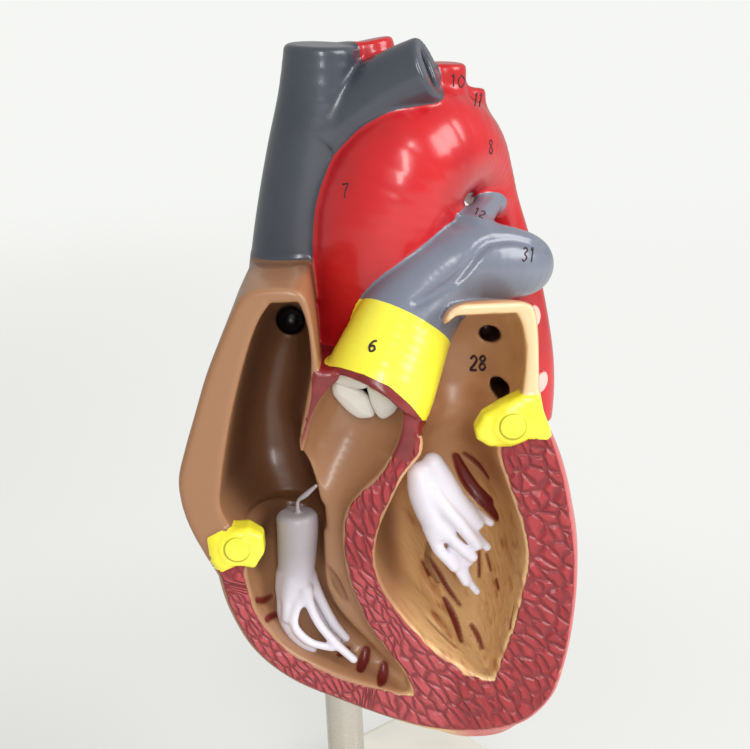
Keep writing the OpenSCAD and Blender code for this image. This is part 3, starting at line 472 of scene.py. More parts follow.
axis_distance = np.sqrt(G.x ** 2 + G.y ** 2)
cup = np.maximum(axis_distance - CUP_RADIUS, G.z - CUP_TOP)
cup = np.minimum(cup, np.maximum(axis_distance - FLANGE_ROOM, G.z - BOSS_LOW)).astype(np.float32)
boss = np.maximum(axis_distance - BOSS_RADIUS, np.maximum(BOSS_LOW - G.z, G.z - BOSS_HIGH))

ventricle = soft_min(G.loft(VENTRICLE), boss.astype(np.float32), 2)
right_atrium = G.loft(RIGHT_ATRIUM)
left_atrium = soft_min(G.loft(LEFT_ATRIUM), G.tube(LEFT_ATRIUM_BACK), 3)

right_hollow = soft_min(G.loft(RIGHT_ATRIUM_HOLLOW, 2.6), G.loft(RIGHT_VENTRICLE_HOLLOW, 2.6), 3)
right_hollow = soft_min(right_hollow, G.tube(OUTFLOW_CHANNEL), 1)
right_hollow = soft_max(right_hollow, LINING - aorta, 2)
right_hollow = soft_max(right_hollow, LINING - cup, 2)
left_hollow = soft_min(G.loft(LEFT_ATRIUM_HOLLOW, 2.6), G.loft(LEFT_VENTRICLE_HOLLOW, 2.6), 3)
left_hollow = soft_max(left_hollow, LINING - aorta, 2)
left_hollow = soft_max(left_hollow, -pulmonary, 0.6)
hollow = np.minimum(right_hollow, left_hollow)

casting = soft_min(ventricle, soft_min(right_atrium, left_atrium, 2.5), 2.5)
rim = np.maximum(pulmonary, ring_low)
casting = soft_min(casting, rim, 1.5)
casting = soft_min(casting, G.upright(ROOT, SECTION_Y - 2, ROOT_DEPTH, 1), 1)
casting = soft_min(casting, G.upright(ROOT_BACK, ROOT_BACK_FRONT, ROOT_DEPTH, 1), 1)
walls = soft_max(casting, -hollow, EDGE_ROUNDING)
walls = soft_max(walls, SECTION_Y - G.y, EDGE_ROUNDING)
# Bores of the openings; their insides are painted near-black as painted shade.
dark = G.blank()
for path in [INLET] + VEIN_HOLES:
    dark = G.capsules(np.array(path, float), dark)
walls = soft_max(walls, -dark, 0.8)
walls = np.maximum(walls, -cup)

ring_and_trunk = np.maximum(np.maximum(pulmonary, -PROUD_STEP - ring_low), -right_hollow)
ring_and_trunk = soft_max(ring_and_trunk, -G.seen(OPENING), 0.6)
ring_and_trunk = soft_max(ring_and_trunk, -lines_on(FOLD, G, ring_and_trunk), 1.2)
veins = [G.tube(rows) for rows in PULMONARY_VEINS]
tips = np.maximum(*(G.plane(rows[-1][:3], heading(rows, 2)) for rows in PULMONARY_VEINS[:2]))
right_pulmonary = G.tube(RIGHT_PULMONARY)
ligament = G.tube(LIGAMENT)
brachiocephalic, carotid, subclavian = G.tube(BRACHIOCEPHALIC), G.tube(CAROTID), G.tube(SUBCLAVIAN)
left_vein = G.tube(LEFT_VEIN, round_end=0.8)
end, way = np.array(LEFT_VEIN[-1][:3], float), heading(LEFT_VEIN, len(LEFT_VEIN) - 1)
side = unit(np.cross(way, (0, 0, 1.0)))
upward = np.cross(side, way)
along = G.plane(end, way)
mouth = np.sqrt((G.plane(end, side) / VEIN_MOUTH[0]) ** 2 + (G.plane(end, upward) / VEIN_MOUTH[1]) ** 2)
left_vein = soft_max(left_vein, -np.maximum((mouth - 1) * VEIN_MOUTH[0], -VEIN_MOUTH[2] - along), 0.6)
inferior_cava = G.tube(INFERIOR_CAVA)
sinus = G.tube(SINUS, open_start=True)
rear_vein = G.tube(REAR_VEIN, open_start=True)
rear_artery = G.tube(np.array(REAR_VEIN) + REAR_ARTERY_OFFSET, open_start=True)

red_lines = lines_on(RED_LINES, G, walls)
shade_lines = lines_on(SHADE_LINES, G, walls)
ridges = lines_on(RIDGES, G, walls)
walls = soft_min(walls, ridges, 1.2)
walls = soft_max(walls, -np.minimum(red_lines, shade_lines), 0.8)

# The vessels, ring and pads join the walls, each with its own width of fillet
solid = walls
for form, width in ((both_pads, 0.3), (ring_and_trunk, 0.5), (aorta, 0.7), (right_pulmonary, 1.5),
    (ligament, 2.5), (brachiocephalic, 2.2), (carotid, 2), (subclavian, 2), (cava, 2),
    (left_vein, 1.2), (inferior_cava, 2), *((vein, 1.6) for vein in veins), (sinus, 1),
    (rear_vein, 1), (rear_artery, 1)):
    solid = soft_min(solid, form, width)
solid = np.maximum(solid, -cup)

# ---- Pieces: each voxel of the solid goes to the first form in this list that holds it ----

septum_zone = np.maximum(G.flat(SEPTUM_ZONE), G.y - SEPTUM_BACK)
rim_top = G.seen(BELOW_YELLOW)
rim_strip = np.maximum(G.flat(RIM_STRIP), G.y - ROOT_DEPTH)
painted = pulmonary - PAINT_LAP
PIECES = [
    ("right_fat_pad", pads[0]),
    ("left_fat_pad", pads[1]),
    ("pulmonary_ring", np.maximum(painted, np.maximum(-rim_top, ring_high))),
    ("outflow_rim", np.minimum(np.maximum(painted, np.minimum(rim_top, ring_low)), rim_strip)),
    ("pulmonary_trunk", np.maximum(painted, -ring_high)),
    ("septum", np.maximum(ventricle, septum_zone)),
    ("left_ventricle_wall", np.maximum(ventricle, G.flat(LEFT_ZONE))),
    ("right_ventricle_wall", ventricle),
    ("ascending_aorta", np.maximum(aorta, np.minimum(arch, ARCH_SPLIT_X - G.x))),
    ("superior_vena_cava", np.maximum(cava, -cava_low)),
    ("left_brachiocephalic_vein", left_vein),
    ("brachiocephalic_trunk", brachiocephalic),
    ("left_carotid_artery", carotid),
    ("left_subclavian_artery", subclavian),
    ("right_atrium_wall", right_atrium),
    ("right_pulmonary_artery", right_pulmonary),
    *(("pulmonary_vein_%d" % number, vein) for number, vein in enumerate(veins, 1)),
    ("left_atrium_wall", left_atrium),
    ("descending_aorta", aorta),
    ("arterial_ligament", ligament),
    ("inferior_vena_cava", inferior_cava),
    ("coronary_sinus", sinus),
    ("posterior_vein", rear_vein),
    ("posterior_artery", rear_artery),
]


def across_axis(k, taken):
    """The index that takes a part of axis k, and the whole of the other two."""
    return tuple(taken if i == k else slice(None) for i in range(3))


def label_grid(grid, body, forms):
    """The number of each voxel's form, from 1 up in the order of the list, and 0 for air."""
    label = np.zeros(grid.shape, np.uint8)
    nearest = np.zeros(grid.shape, np.uint8)
    best = np.full(grid.shape, 1e9, np.float32)
    inside = body < 0
    for number, form in enumerate(forms, 1):
        form = np.broadcast_to(form, grid.shape)
        label[inside & (label == 0) & (form < 0)] = number
        closer = form < best
        best[closer] = form[closer]
        nearest[closer] = number
    rest = inside & (label == 0)
    label[rest] = nearest[rest]
    for k in range(3):
        for end in (0, -1):
            label[across_axis(k, end)] = 0
    return label


def surface_net(grid, label, body):
    """One vertex in each grid cell that forms meet in, and one quad across each crossed edge."""
    cells_shape = tuple(n - 1 for n in grid.shape)
    all_cells, all_points, sides = [], [], []
    for k in range(3):
        near, far = label[across_axis(k, slice(0, -1))], label[across_axis(k, slice(1, None))]
        at = np.argwhere(near != far)
        a, b = tuple(at.T), tuple((at + np.eye(3, dtype=int)[k]).T)
        la, lb, fa, fb = label[a], label[b], body[a], body[b]
        crossed = ((la == 0) | (lb == 0)) & ((fa < 0) != (fb < 0))
        t = np.where(crossed, fa / np.where(crossed, fa - fb, 1), 0.5)
        point = at.astype(float)
        point[:, k] += np.clip(t, 0.03, 0.97)
        u, v = (k + 1) % 3, (k + 2) % 3
        quad = []
        for du, dv in ((0, 0), (1, 0), (1, 1), (0, 1)):
            c = at.copy()
            c[:, u] += du - 1
            c[:, v] += dv - 1
            quad.append(np.ravel_multi_index(tuple(c.T), cells_shape))
        all_cells.append(np.stack(quad, 1))
        all_points.append(point)
        sides.append(np.stack([la, lb], 1))
    cells, crossings, sides = np.concatenate(all_cells), np.concatenate(all_points), np.concatenate(sides)
    used, index = np.unique(cells.ravel(), return_inverse=True)
    index = index.reshape(cells.shape)
    count = np.bincount(index.ravel(), minlength=len(used))
    vertex = np.stack([np.bincount(index.ravel(), np.repeat(crossings[:, k], 4), len(used)) / count
        for k in range(3)], 1)
    return vertex * grid.cell + grid.origin, index, sides


def settle(grid, points, quads, sides, body, forms):
    """Moves vertices on to the surface, and those where two forms meet there on to their border too."""
    far = 255
    low, second = np.full(len(points), far), np.full(len(points), far)
    air = np.zeros(len(points), bool)
    vertex = quads.ravel()
    numbers = [np.repeat(side.astype(int), 4) for side in sides.T]
    for number in numbers:
        air[vertex[number == 0]] = True
        np.minimum.at(low, vertex, np.where(number == 0, far, number))
    for number in numbers:
        other = (number != 0) & (number != low[vertex])
        np.minimum.at(second, vertex[other], number[other])
    start = points.copy()
    pairs = {}
    border = air & (second < far)
    for number in np.unique(low[border] * 256 + second[border]):
        pairs[number] = np.flatnonzero(border & (low * 256 + second == number))
    shown = np.flatnonzero(air)

    def pull(rows, field):
        p = points[rows]
        value, slope = grid.sample(field, p), grid.slope(field, p)
        move = -value[:, None] * slope / np.maximum((slope ** 2).sum(1), 0.15)[:, None]
        length = np.linalg.norm(move, axis=1)
        move *= np.minimum(1, 0.5 * grid.cell / np.maximum(length, 1e-9))[:, None]
        away = p + move - start[rows]
        reach = np.linalg.norm(away, axis=1)
        points[rows] = start[rows] + away * np.minimum(1, grid.cell / np.maximum(reach, 1e-9))[:, None]

    for _ in range(3):
        for number, rows in pairs.items():
            a, b = forms[number // 256 - 1], forms[number % 256 - 1]
            pull(rows, np.broadcast_to(a, grid.shape) - np.maximum(b, 0))
        pull(shown, body)
    normals = grid.slope(body, points, 0.8)
    return normals / np.maximum(np.linalg.norm(normals, axis=1), 1e-9)[:, None]


def net_over(grid, body, forms):
    """The vertices, quads, sides and normals of one net over all forms."""
    points, quads, sides = surface_net(grid, label_grid(grid, body, forms), body)
    return points, quads, sides, settle(grid, points, quads, sides, body, forms)


def put(name, data):
    """A new object in the scene."""
    obj = bpy.data.objects.new(name, data)
    scene.collection.objects.link(obj)
    return obj


def add_mesh(name, vertices, faces, material, values=None, sharp=None, normals=None):
    """A mesh object from arrays in millimetres, riding on the heart."""
    mesh = bpy.data.meshes.new(name)
    vertices = np.asarray(vertices, np.float32) * MM
    faces = np.asarray(faces, np.int32)
    width = faces.shape[1]
    mesh.vertices.add(len(vertices))
    mesh.vertices.foreach_set("co", vertices.ravel())
    mesh.loops.add(faces.size)
    mesh.loops.foreach_set("vertex_index", faces.ravel())
    mesh.polygons.add(len(faces))
    mesh.polygons.foreach_set("loop_start", np.arange(0, faces.size, width, dtype=np.int32))
    mesh.update(calc_edges=True)
    mesh.polygons.foreach_set("use_smooth", np.ones(len(faces), bool))
    if sharp is not None:
        loop_edge = np.zeros(faces.size, np.int32)
        mesh.loops.foreach_get("edge_index", loop_edge)
        flags = np.repeat(sharp, width)
        inner, outer = np.zeros(len(mesh.edges), bool), np.zeros(len(mesh.edges), bool)
        inner[loop_edge[flags]] = True
        outer[loop_edge[~flags]] = True
        mesh.attributes.new("sharp_edge", "BOOLEAN", "EDGE").data.foreach_set("value", inner & outer)
    for key, value in (values or {}).items():
        layer = mesh.attributes.new(key, "FLOAT", "POINT")
        layer.data.foreach_set("value", np.asarray(value, np.float32))
    mesh.validate()
    mesh.update()
    if normals is not None:
        mesh.normals_split_custom_set_from_vertices(normals.astype(np.float32))
    obj = put(name, mesh)
    mesh.materials.append(material)
    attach(obj, "heart")
    return obj


def title(name):
    return name[0].upper() + name[1:]


def net_piece(name, number, net, material, values):
    """The closed mesh of one numbered form, in the place of its CAD node."""
    points, quads, sides, normals = net
    here = (sides == number).any(1)
    flip = sides[here, 1] == number
    faces = quads[here].copy()
    faces[flip] = faces[flip][:, ::-1]
    used, index = np.unique(faces.ravel(), return_inverse=True)
    obj = add_mesh(title(name), points[used], index.reshape(faces.shape), material,
        sharp=(sides[here] > 0).all(1), normals=normals[used],
        values={key: value[used] for key, value in values.items()})
    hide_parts(name)
    return obj


def potential(way_x, way_z, step):
    """The surface over a grid whose slopes come nearest to the given ones, by conjugate gradients."""

    def gather(dx, dz):
        out = np.zeros_like(way_x)
        out[1:] += dx
        out[:-1] -= dx
        out[:, 1:] += dz
        out[:, :-1] -= dz
        return out

    target = gather((way_x[1:] + way_x[:-1]) / 2 * step, (way_z[:, 1:] + way_z[:, :-1]) / 2 * step)
    u = np.zeros_like(way_x)
    residual = target.copy()
    direction = residual.copy()
    size = (residual ** 2).sum()
    for _ in range(300):
        image = gather(np.diff(direction, axis=0), np.diff(direction, axis=1))
        rate = size / (direction * image).sum()
        u += rate * direction
        residual -= rate * image
        size, old = (residual ** 2).sum(), size
        if size < 1e-8:
            break
        direction = residual + size / old * direction
    return u


def grain(points):
    """Coordinates along and across the muscle bundles, at points in the section face."""
    x, z = np.arange(-32, 54, 1.0), np.arange(66, 160, 1.0)
    gx, gz = np.meshgrid(x, z, indexing="ij")
    weight, angle = 0, 0
    for px, pz, degrees in GRAIN:
        w = 1 / ((gx - px) ** 2 + (gz - pz) ** 2 + 6) ** 1.5
        weight, angle = weight + w, angle + w * math.radians(degrees)
    angle /= weight
    out = []
    for way in ((np.cos(angle), np.sin(angle)), (-np.sin(angle), np.cos(angle))):
        u = potential(way[0], way[1], 1.0)
        qx = np.clip(points[:, 0] - x[0], 0, len(x) - 1.01)
        qz = np.clip(points[:, 2] - z[0], 0, len(z) - 1.01)
        i, k = qx.astype(int), qz.astype(int)
        fx, fz = qx - i, qz - k
        out.append((u[i, k] * (1 - fx) + u[i + 1, k] * fx) * (1 - fz)
            + (u[i, k + 1] * (1 - fx) + u[i + 1, k + 1] * fx) * fz)
    return out

# ---- Materials ----


def srgb(r, g, b):
    return tuple((c / 12.92 if c <= 0.04045 else ((c + 0.055) / 1.055) ** 2.4)
        for c in (r / 255, g / 255, b / 255)) + (1,)


def add(tree, kind, inputs=None, **settings):
    """A shader node with its settings, and its inputs set or linked."""
    node = tree.nodes.new("ShaderNode" + kind)
    for key, value in settings.items():
        setattr(node, key, value)
    for key, value in (inputs or {}).items():
        if isinstance(value, bpy.types.NodeSocket):
            tree.links.new(value, node.inputs[key])
        else:
            node.inputs[key].default_value = value
    return node


def mix(tree, share, a, b):
    return add(tree, "Mix", {0: share, 6: a, 7: b}, data_type="RGBA").outputs[2]


def ramp(tree, value, low, high, start=0.0, end=1.0):
    return add(tree, "MapRange", {0: value, 1: low, 2: high, 3: start, 4: end},
        interpolation_type="SMOOTHSTEP").outputs[0]


def math_node(tree, operation, *values):
    return add(tree, "Math", dict(enumerate(values)), operation=operation).outputs[0]


def times(tree, *values):
    """The product of two or more values."""
    out = values[0]
    for value in values[1:]:
        out = math_node(tree, "MULTIPLY", out, value)
    return out


def attribute(tree, name):
    return add(tree, "Attribute", attribute_name=name).outputs["Fac"]


def place_of(tree):
    return add(tree, "TexCoord").outputs["Object"]


def noise(tree, place, scale, detail=2.0):
    return add(tree, "TexNoise", {"Vector": place, "Scale": scale, "Detail": detail}).outputs["Fac"]


def new_material(name, rough=0.3, coat=0.0, metal=0.0):
    """A material, its node tree and its surface node."""
    m = bpy.data.materials.new(name)
    m.use_nodes = True
    surface = m.node_tree.nodes["Principled BSDF"]
    surface.inputs["Roughness"].default_value = rough
    surface.inputs["Coat Weight"].default_value = coat
    surface.inputs["Coat Roughness"].default_value = 0.12
    surface.inputs["Metallic"].default_value = metal
    return m, m.node_tree, surface


def link(tree, value, surface, key):
    tree.links.new(value, surface.inputs[key])


def bump(tree, surface, height, depth):
    node = add(tree, "Bump", {"Height": height, "Distance": depth, "Strength": 1.0})
    link(tree, node.outputs[0], surface, "Normal")


def paint(name, color, other):
    """Glossy paint on a cast surface: two tones in soft clouds, and a slightly uneven face."""
    m, t, s = new_material(name, 0.28, 0.3)
    place = place_of(t)
    cloud = ramp(t, noise(t, place, 55.0, 3.0), 0.35, 0.7)
    link(t, mix(t, cloud, srgb(*color), srgb(*other)), s, "Base Color")
    bump(t, s, noise(t, place, 130.0, 2.0), 0.00025)
    return m


SKIN = srgb(214, 164, 120)
SKIN_WARM = srgb(198, 142, 100)
# Painted shade for the depth of the chambers and the back.
SKIN_DEPTH_SHADE = srgb(92, 54, 33)
# The pale section lip in painted shade, used on the left side.
SKIN_LIP_SHADED = srgb(158, 112, 78)
# Tan skin in painted shade, used on the left side and in the outflow channel.
SKIN_SHADED = srgb(166, 120, 86)
# The pale section lip in painted light, used on the right side.
SKIN_LIP_LIT = srgb(240, 206, 158)
SKIN_PALE = srgb(226, 184, 130)
SIDE = srgb(205, 98, 98)
RIM = srgb(116, 26, 28)
# Insides of the openings: near-black painted shade, and a brown lit copy for the right side.
HOLE_SHADE = srgb(26, 10, 12)
HOLE_LIT = srgb(64, 36, 24)
MUSCLE = srgb(170, 46, 52)
# Lighter pink muscle: a painted sheen.
MUSCLE_SHEEN = srgb(196, 84, 90)
MUSCLE_DARK = srgb(148, 34, 40)
# Painted shade for the grooves between muscle bundles.
GROOVE_SHADE = srgb(120, 26, 34)
WINE = srgb(118, 34, 32)
# Painted shade along the carved lines in the chambers.
BROWN_SHADE = srgb(120, 76, 46)
STREAK = srgb(178, 112, 70)


def flesh(name, muscle):
    """The cast wall: tan skin with painted shade on the left side and toward the back, and in the section
    face either bundles of red muscle, with painted shade in the grooves and a painted sheen low on the
    septum, or a pale lip, shaded on the left and lit on the right.
    """
    m, t, s = new_material(name, 0.34, 0.15)
    place = place_of(t)
    y = add(t, "SeparateXYZ", {0: place}).outputs["Y"]
    cloud = noise(t, place, 80.0, 3.0)
    tan = mix(t, ramp(t, cloud, 0.38, 0.66), SKIN, SKIN_WARM)
    # The light attribute is the mask of painted light: shade on the left side, lit on the right.
    light = attribute(t, "light")
    tan = mix(t, light, SKIN_SHADED, tan)
    zone = attribute(t, "ribbed")
    tan = mix(t, zone, tan, SKIN_PALE)
    # Painted shade that grows toward the back, in the chambers and on the outside of the back alike;
    # strongest on the left side, weakest in the ribbed lining.
    depth_shade = times(t, ramp(t, y, -0.014, 0.004, 0.0, 0.8), ramp(t, light, 0.0, 1.0, 1.0, 0.3),
        ramp(t, zone, 0.0, 1.0, 1.0, 0.3))
    tan = mix(t, depth_shade, tan, SKIN_DEPTH_SHADE)
    turned = add(t, "Mapping", {"Vector": place, "Rotation": (0, math.radians(62), 0),
        "Scale": (0.016, 0.006, 0.0021)}, vector_type="TEXTURE").outputs[0]
    streak = noise(t, turned, 1.0, 3.0)
    tan = mix(t, times(t, zone, ramp(t, streak, 0.5, 0.72)), tan, STREAK)
    front = ramp(t, y, -0.01978, -0.01952, 1.0, 0.0)
    wander = math_node(t, "MULTIPLY_ADD", noise(t, place, 260.0, 1.0), 0.9, -0.45)
    inward = math_node(t, "ADD", attribute(t, "hollow"), wander)
    height = times(t, streak, zone, 2.2)
    if muscle:
        tan = mix(t, attribute(t, "side"), tan, SIDE)
        inner = ramp(t, attribute(t, "outer"), -0.6, -0.3, 1.0, 0.0)
        cut = times(t, ramp(t, inward, 0.5, 0.75), front, inner)
        cell = add(t, "CombineXYZ", {0: attribute(t, "cell_u"), 1: attribute(t, "cell_v")}).outputs[0]
        swirl = add(t, "TexNoise", {"Vector": place, "Scale": 240.0, "Detail": 1.0}).outputs["Color"]
        swirl = add(t, "VectorMath", {0: swirl, 1: (0.9, 0.9, 0)}, operation="MULTIPLY").outputs[0]
        cell = add(t, "VectorMath", {0: cell, 1: swirl}, operation="ADD").outputs[0]
        edges, tones = (add(t, "TexVoronoi", {"Vector": cell, "Scale": 1.0, "Randomness": 0.8},
            voronoi_dimensions="2D", feature=feature) for feature in ("DISTANCE_TO_EDGE", "F1"))
        edge = edges.outputs["Distance"]
        shade = add(t, "SeparateXYZ", {0: tones.outputs["Color"]}).outputs["X"]
        red = mix(t, shade, MUSCLE_DARK, MUSCLE)
        # Painted sheen: lighter pink muscle low in the section face, toward the septum.
        red = mix(t, ramp(t, attribute(t, "pinkness"), 0.0, 1.0, 0.0, 0.6), red, MUSCLE_SHEEN)
        rough_edge = math_node(t, "MULTIPLY_ADD", noise(t, place, 420.0, 1.0), 0.2, -0.1)
        depth = math_node(t, "ADD", edge, rough_edge)
        # Painted shade in the grooves between bundles.
        red = mix(t, ramp(t, depth, 0.02, 0.16, 0.85, 0.0), red, GROOVE_SHADE)
        color = mix(t, cut, tan, red)
        pillow = times(t, ramp(t, edge, 0.0, 0.32), cut)
        height = math_node(t, "ADD", height, pillow)
    else:
        lip = times(t, front, ramp(t, inward, 0.1, 0.5))
        # The lip in painted shade on the left side and lit on the right.
        color = mix(t, lip, tan, mix(t, light, SKIN_LIP_SHADED, SKIN_LIP_LIT))
    # Painted shade along the brown-shaded carved lines.
    color = mix(t, ramp(t, attribute(t, "brown"), -0.15, 0.5, 0.8, 0.0), color, BROWN_SHADE)
    color = mix(t, ramp(t, attribute(t, "red"), 0.0, 0.45, 1.0, 0.0), color, WINE)
    # Openings: near-black painted shade, lifted to brown as painted light on the right side.
    color = mix(t, ramp(t, attribute(t, "dark"), 0.0, 0.5, 1.0, 0.0), color,
        mix(t, light, HOLE_SHADE, HOLE_LIT))
    link(t, color, s, "Base Color")
    bump(t, s, height, 0.0005)
    return m


def rim_material(name):
    """Dark red paint round the outlet, and tan skin in painted shade where the channel runs through it."""
    m, t, s = new_material(name, 0.3, 0.2)
    place = place_of(t)
    color = mix(t, ramp(t, noise(t, place, 200.0, 2.0), 0.35, 0.7), RIM, srgb(134, 38, 38))
    inside = ramp(t, attribute(t, "channel"), 0.1, 0.45, 1.0, 0.0)
    # Tan skin in painted shade inside the channel.
    link(t, mix(t, inside, color, SKIN_SHADED), s, "Base Color")
    bump(t, s, noise(t, place, 260.0, 2.0), 0.0003)
    return m


def vein_material(name):
    """Red paint along a vein and a pale end."""
    m, t, s = new_material(name, 0.28, 0.3)
    end = ramp(t, attribute(t, "tip"), -0.5, -0.2)
    link(t, mix(t, end, srgb(206, 32, 40), srgb(238, 196, 186)), s, "Base Color")
    bump(t, s, noise(t, place_of(t), 200.0, 2.0), 0.00025)
    return m


def pad_material(name):
    """Yellow paint over the fat, with the round outline of the magnet below it: a raised disc edged with a
    line of painted shade.
    """
    m, t, s = new_material(name, 0.3, 0.2)
    place = place_of(t)
    parts = add(t, "SeparateXYZ", {0: place}).outputs
    color = mix(t, ramp(t, noise(t, place, 120.0, 3.0), 0.3, 0.75), srgb(255, 246, 70), srgb(244, 226, 40))
    height = times(t, noise(t, place, 230.0, 2.0), 1.8)
    for x, z in MAGNETS:
        dx = math_node(t, "SUBTRACT", parts["X"], x * MM)
        dz = math_node(t, "SUBTRACT", parts["Z"], z * MM)
        away = math_node(t, "SQRT", math_node(t, "ADD", times(t, dx, dx), times(t, dz, dz)))
        disc = ramp(t, away, 0.0022, 0.0027, 1.0, 0.0)
        # A line of painted shade round the edge of each disc.
        edge = times(t, disc, math_node(t, "SUBTRACT", 1.0, disc))
        color = mix(t, edge, color, srgb(214, 190, 30))
        height = math_node(t, "MULTIPLY_ADD", disc, 1.3, height)
    link(t, color, s, "Base Color")
    bump(t, s, height, 0.0004)
    return m


def plastic(name, color, rough):
    m, t, s = new_material(name, rough, 0.1)
    place = place_of(t)
    cloud = noise(t, place, 60.0, 2.0)
    shade = tuple(c * 0.93 for c in srgb(*color)[:3]) + (1,)
    link(t, mix(t, ramp(t, cloud, 0.3, 0.7), srgb(*color), shade), s, "Base Color")
    bump(t, s, noise(t, place, 700.0, 2.0), 0.00002)
    return m


def valve(name):
    """White plastic, a little translucent, with painted shade that greys the top of the right inner valve's
    sleeve.
    """
    m, t, s = new_material(name, 0.4, 0.1)
    s.inputs["Subsurface Weight"].default_value = 0.1
    s.inputs["Subsurface Scale"].default_value = 0.002
    place = place_of(t)
    parts = add(t, "SeparateXYZ", {0: place}).outputs
    # Painted shade: grey at the top of the sleeve, on its left.
    sleeve_shade = times(t, ramp(t, parts["X"], 0.004, 0.012, 1.0, 0.0), ramp(t, parts["Z"], 0.1, 0.116))
    link(t, mix(t, sleeve_shade, srgb(226, 222, 232), srgb(166, 158, 163)), s, "Base Color")
    bump(t, s, noise(t, place, 700.0, 2.0), 0.00002)
    return m


def steel(name, color, rough, stretch):
    """Bare metal with fine lines round the post."""
    m, t, s = new_material(name, rough, 0.0, 1.0)
    place = add(t, "Mapping", {"Vector": place_of(t), "Scale": stretch}).outputs[0]
    lines = noise(t, place, 1.0, 3.0)
    s.inputs["Base Color"].default_value = srgb(*color)
    link(t, ramp(t, lines, 0.3, 0.7, rough - 0.05, rough + 0.09), s, "Roughness")
    bump(t, s, lines, 0.00001)
    return m


def rubber(name, color):
    m, t, s = new_material(name, 0.7)
    s.inputs["Base Color"].default_value = srgb(*color)
    bump(t, s, noise(t, place_of(t), 900.0, 2.0), 0.00005)
    return m


MATERIALS = {"muscle_paint": (flesh, True),
    "skin_paint": (flesh, False),
    "yellow_paint": (paint, (255, 247, 74), (252, 238, 52)),
    "light_grey_paint": (paint, (120, 126, 141), (110, 116, 131)),
    "dark_grey_paint": (paint, (66, 70, 80), (58, 62, 72)),
    "red_paint": (paint, (202, 24, 32), (180, 18, 26)),
    "cusp_paint": (plastic, (226, 221, 212), 0.35),
    "valve_paint": (valve,),
    "base_plastic": (plastic, (250, 246, 234), 0.25),
    "foot_rubber": (rubber, (52, 52, 54)),
    "post_steel": (steel, (205, 198, 188), 0.26, (40, 40, 3000)),
    "bright_steel": (steel, (214, 214, 216), 0.2, (900, 900, 900)),
    "socket_plastic": (rubber, (70, 70, 74)),
    "pad_paint": (pad_material,),
    "rim_paint": (rim_material,),
    "vein_paint": (vein_material,)}
materials = {name: make(name, *settings) for name, (make, *settings) in MATERIALS.items()}
ink = new_material("ink", 0.5)[0]
ink.node_tree.nodes["Principled BSDF"].inputs["Base Color"].default_value = srgb(52, 26, 34)

# ---- The casting, in one net ----

slots = {s["node"]: s["material_slot"] for s in frame["record"]["subparts"]}
for name, node in frame["nodes"].items():
    for place in node.material_slots:
        place.material = materials[slots[name]]
net = net_over(G, solid, [form for _, form in PIECES])
points = net[0]
px, _, pz = points.T
cell_u, cell_v = grain(points)
# Bundles are smaller in the right ventricle's thin wall, below a slanting line
small = step_up(px - 0.55 * (pz - 86), 8.5, 4.5) * step_up(pz, 112, 108)
values = {key: G.sample(field, points) for key, field in (("hollow", hollow), ("outer", casting),
    ("dark", dark), ("channel", right_hollow), ("tip", tips), ("red", red_lines), ("brown", shade_lines))}
values |= {"cell_u": cell_u / (BUNDLE[0] - BUNDLE_CUT[0] * small),
    "cell_v": cell_v / (BUNDLE[1] - BUNDLE_CUT[1] * small),
    # light: the mask of painted light, 0 on the shaded left side and 1 on the lit right side.
    "light": step_up(px, 9, 16),
    "side": step_up(values["hollow"], 1, 2.5) * step_up(px, 20, 27) * step_up(pz, 66, 70),
    "ribbed": step_up(px, 11, 17) * step_up(pz, 126, 116) * step_up(px, 40, 36),
    # Where the muscle gets its painted sheen, low in the section face.
    "pinkness": step_up(pz, 118, 104) * step_up(px, 26, 18)}
OWN_PAINT = {"right_fat_pad": "pad_paint", "left_fat_pad": "pad_paint", "outflow_rim": "rim_paint",
    "pulmonary_vein_1": "vein_paint", "pulmonary_vein_2": "vein_paint"}
for number, (name, _) in enumerate(PIECES, 1):
    material = materials[OWN_PAINT.get(name, slots[name])]
    net_piece(name, number, net, material, values)

# ---- Inner valves and the leaflets of the outflow valve, on finer grids ----


def fine_piece(name, low, high, form, slot):
    grid = Grid(low, high, FINE_CELL)
    body = form(grid)
    net_piece(name, 1, net_over(grid, body, [body]), materials[slot], {})


def strands(grid, table, width):
    body = grid.blank()
    for rows in table:
        body = soft_min(body, grid.capsules(smooth(rows, 4), pad=2.0), width)
    return body


def tricuspid(grid):
    sleeve = soft_max(strands(grid, TRICUSPID[:-1], 1.3), grid.z - SLEEVE_TOP, 1.6)
    return soft_min(sleeve, strands(grid, TRICUSPID[-1:], 1), 0.6)


fine_piece("tricuspid_valve", (-14, -20, 88), (8, -6, 131), tricuspid, "valve_paint")
fine_piece("mitral_valve", (11, -19, 99), (35, -7, 137),
    lambda g: strands(g, MITRAL, 1.1) - 0.15, "valve_paint")

axis3 = unit(np.array(VALVE_AXIS))
across = unit(np.cross((0, 0, 1.0), axis3))
rise = np.cross(axis3, across)


def cusp(outline):
    """A pillow of plastic in the plane of the valve, behind an outline as the eye sees it."""
    corners = []
    for x, z in outline:
        way = np.array([x, SECTION_Y, z]) - EYE
        spot = EYE + way * (((np.array(VALVE_AT) - EYE) @ axis3) / (way @ axis3))
        corners.append(((spot - VALVE_AT) @ across, (spot - VALVE_AT) @ rise))
    corners = smooth(corners + corners[:1], 3)[:-1]

    def form(grid):
        u, v, h = (grid.plane(VALVE_AT, way) for way in (across, rise, axis3))
        flat = outline_distance(u, v, corners) - 0.25
        swell = -1.0 * (1 - np.exp(np.minimum(flat, 0) / 1.6))
        return soft_max(flat, np.abs(h - swell) - 0.75, 0.6)

    return form


for number, outline in enumerate(CUSPS, 1):
    fine_piece("pulmonary_cusp_%d" % number, (-1, -19, 140), (15, -10, 154), cusp(outline), "cusp_paint")

# ---- Numerals, drawn in ink on the paint ----


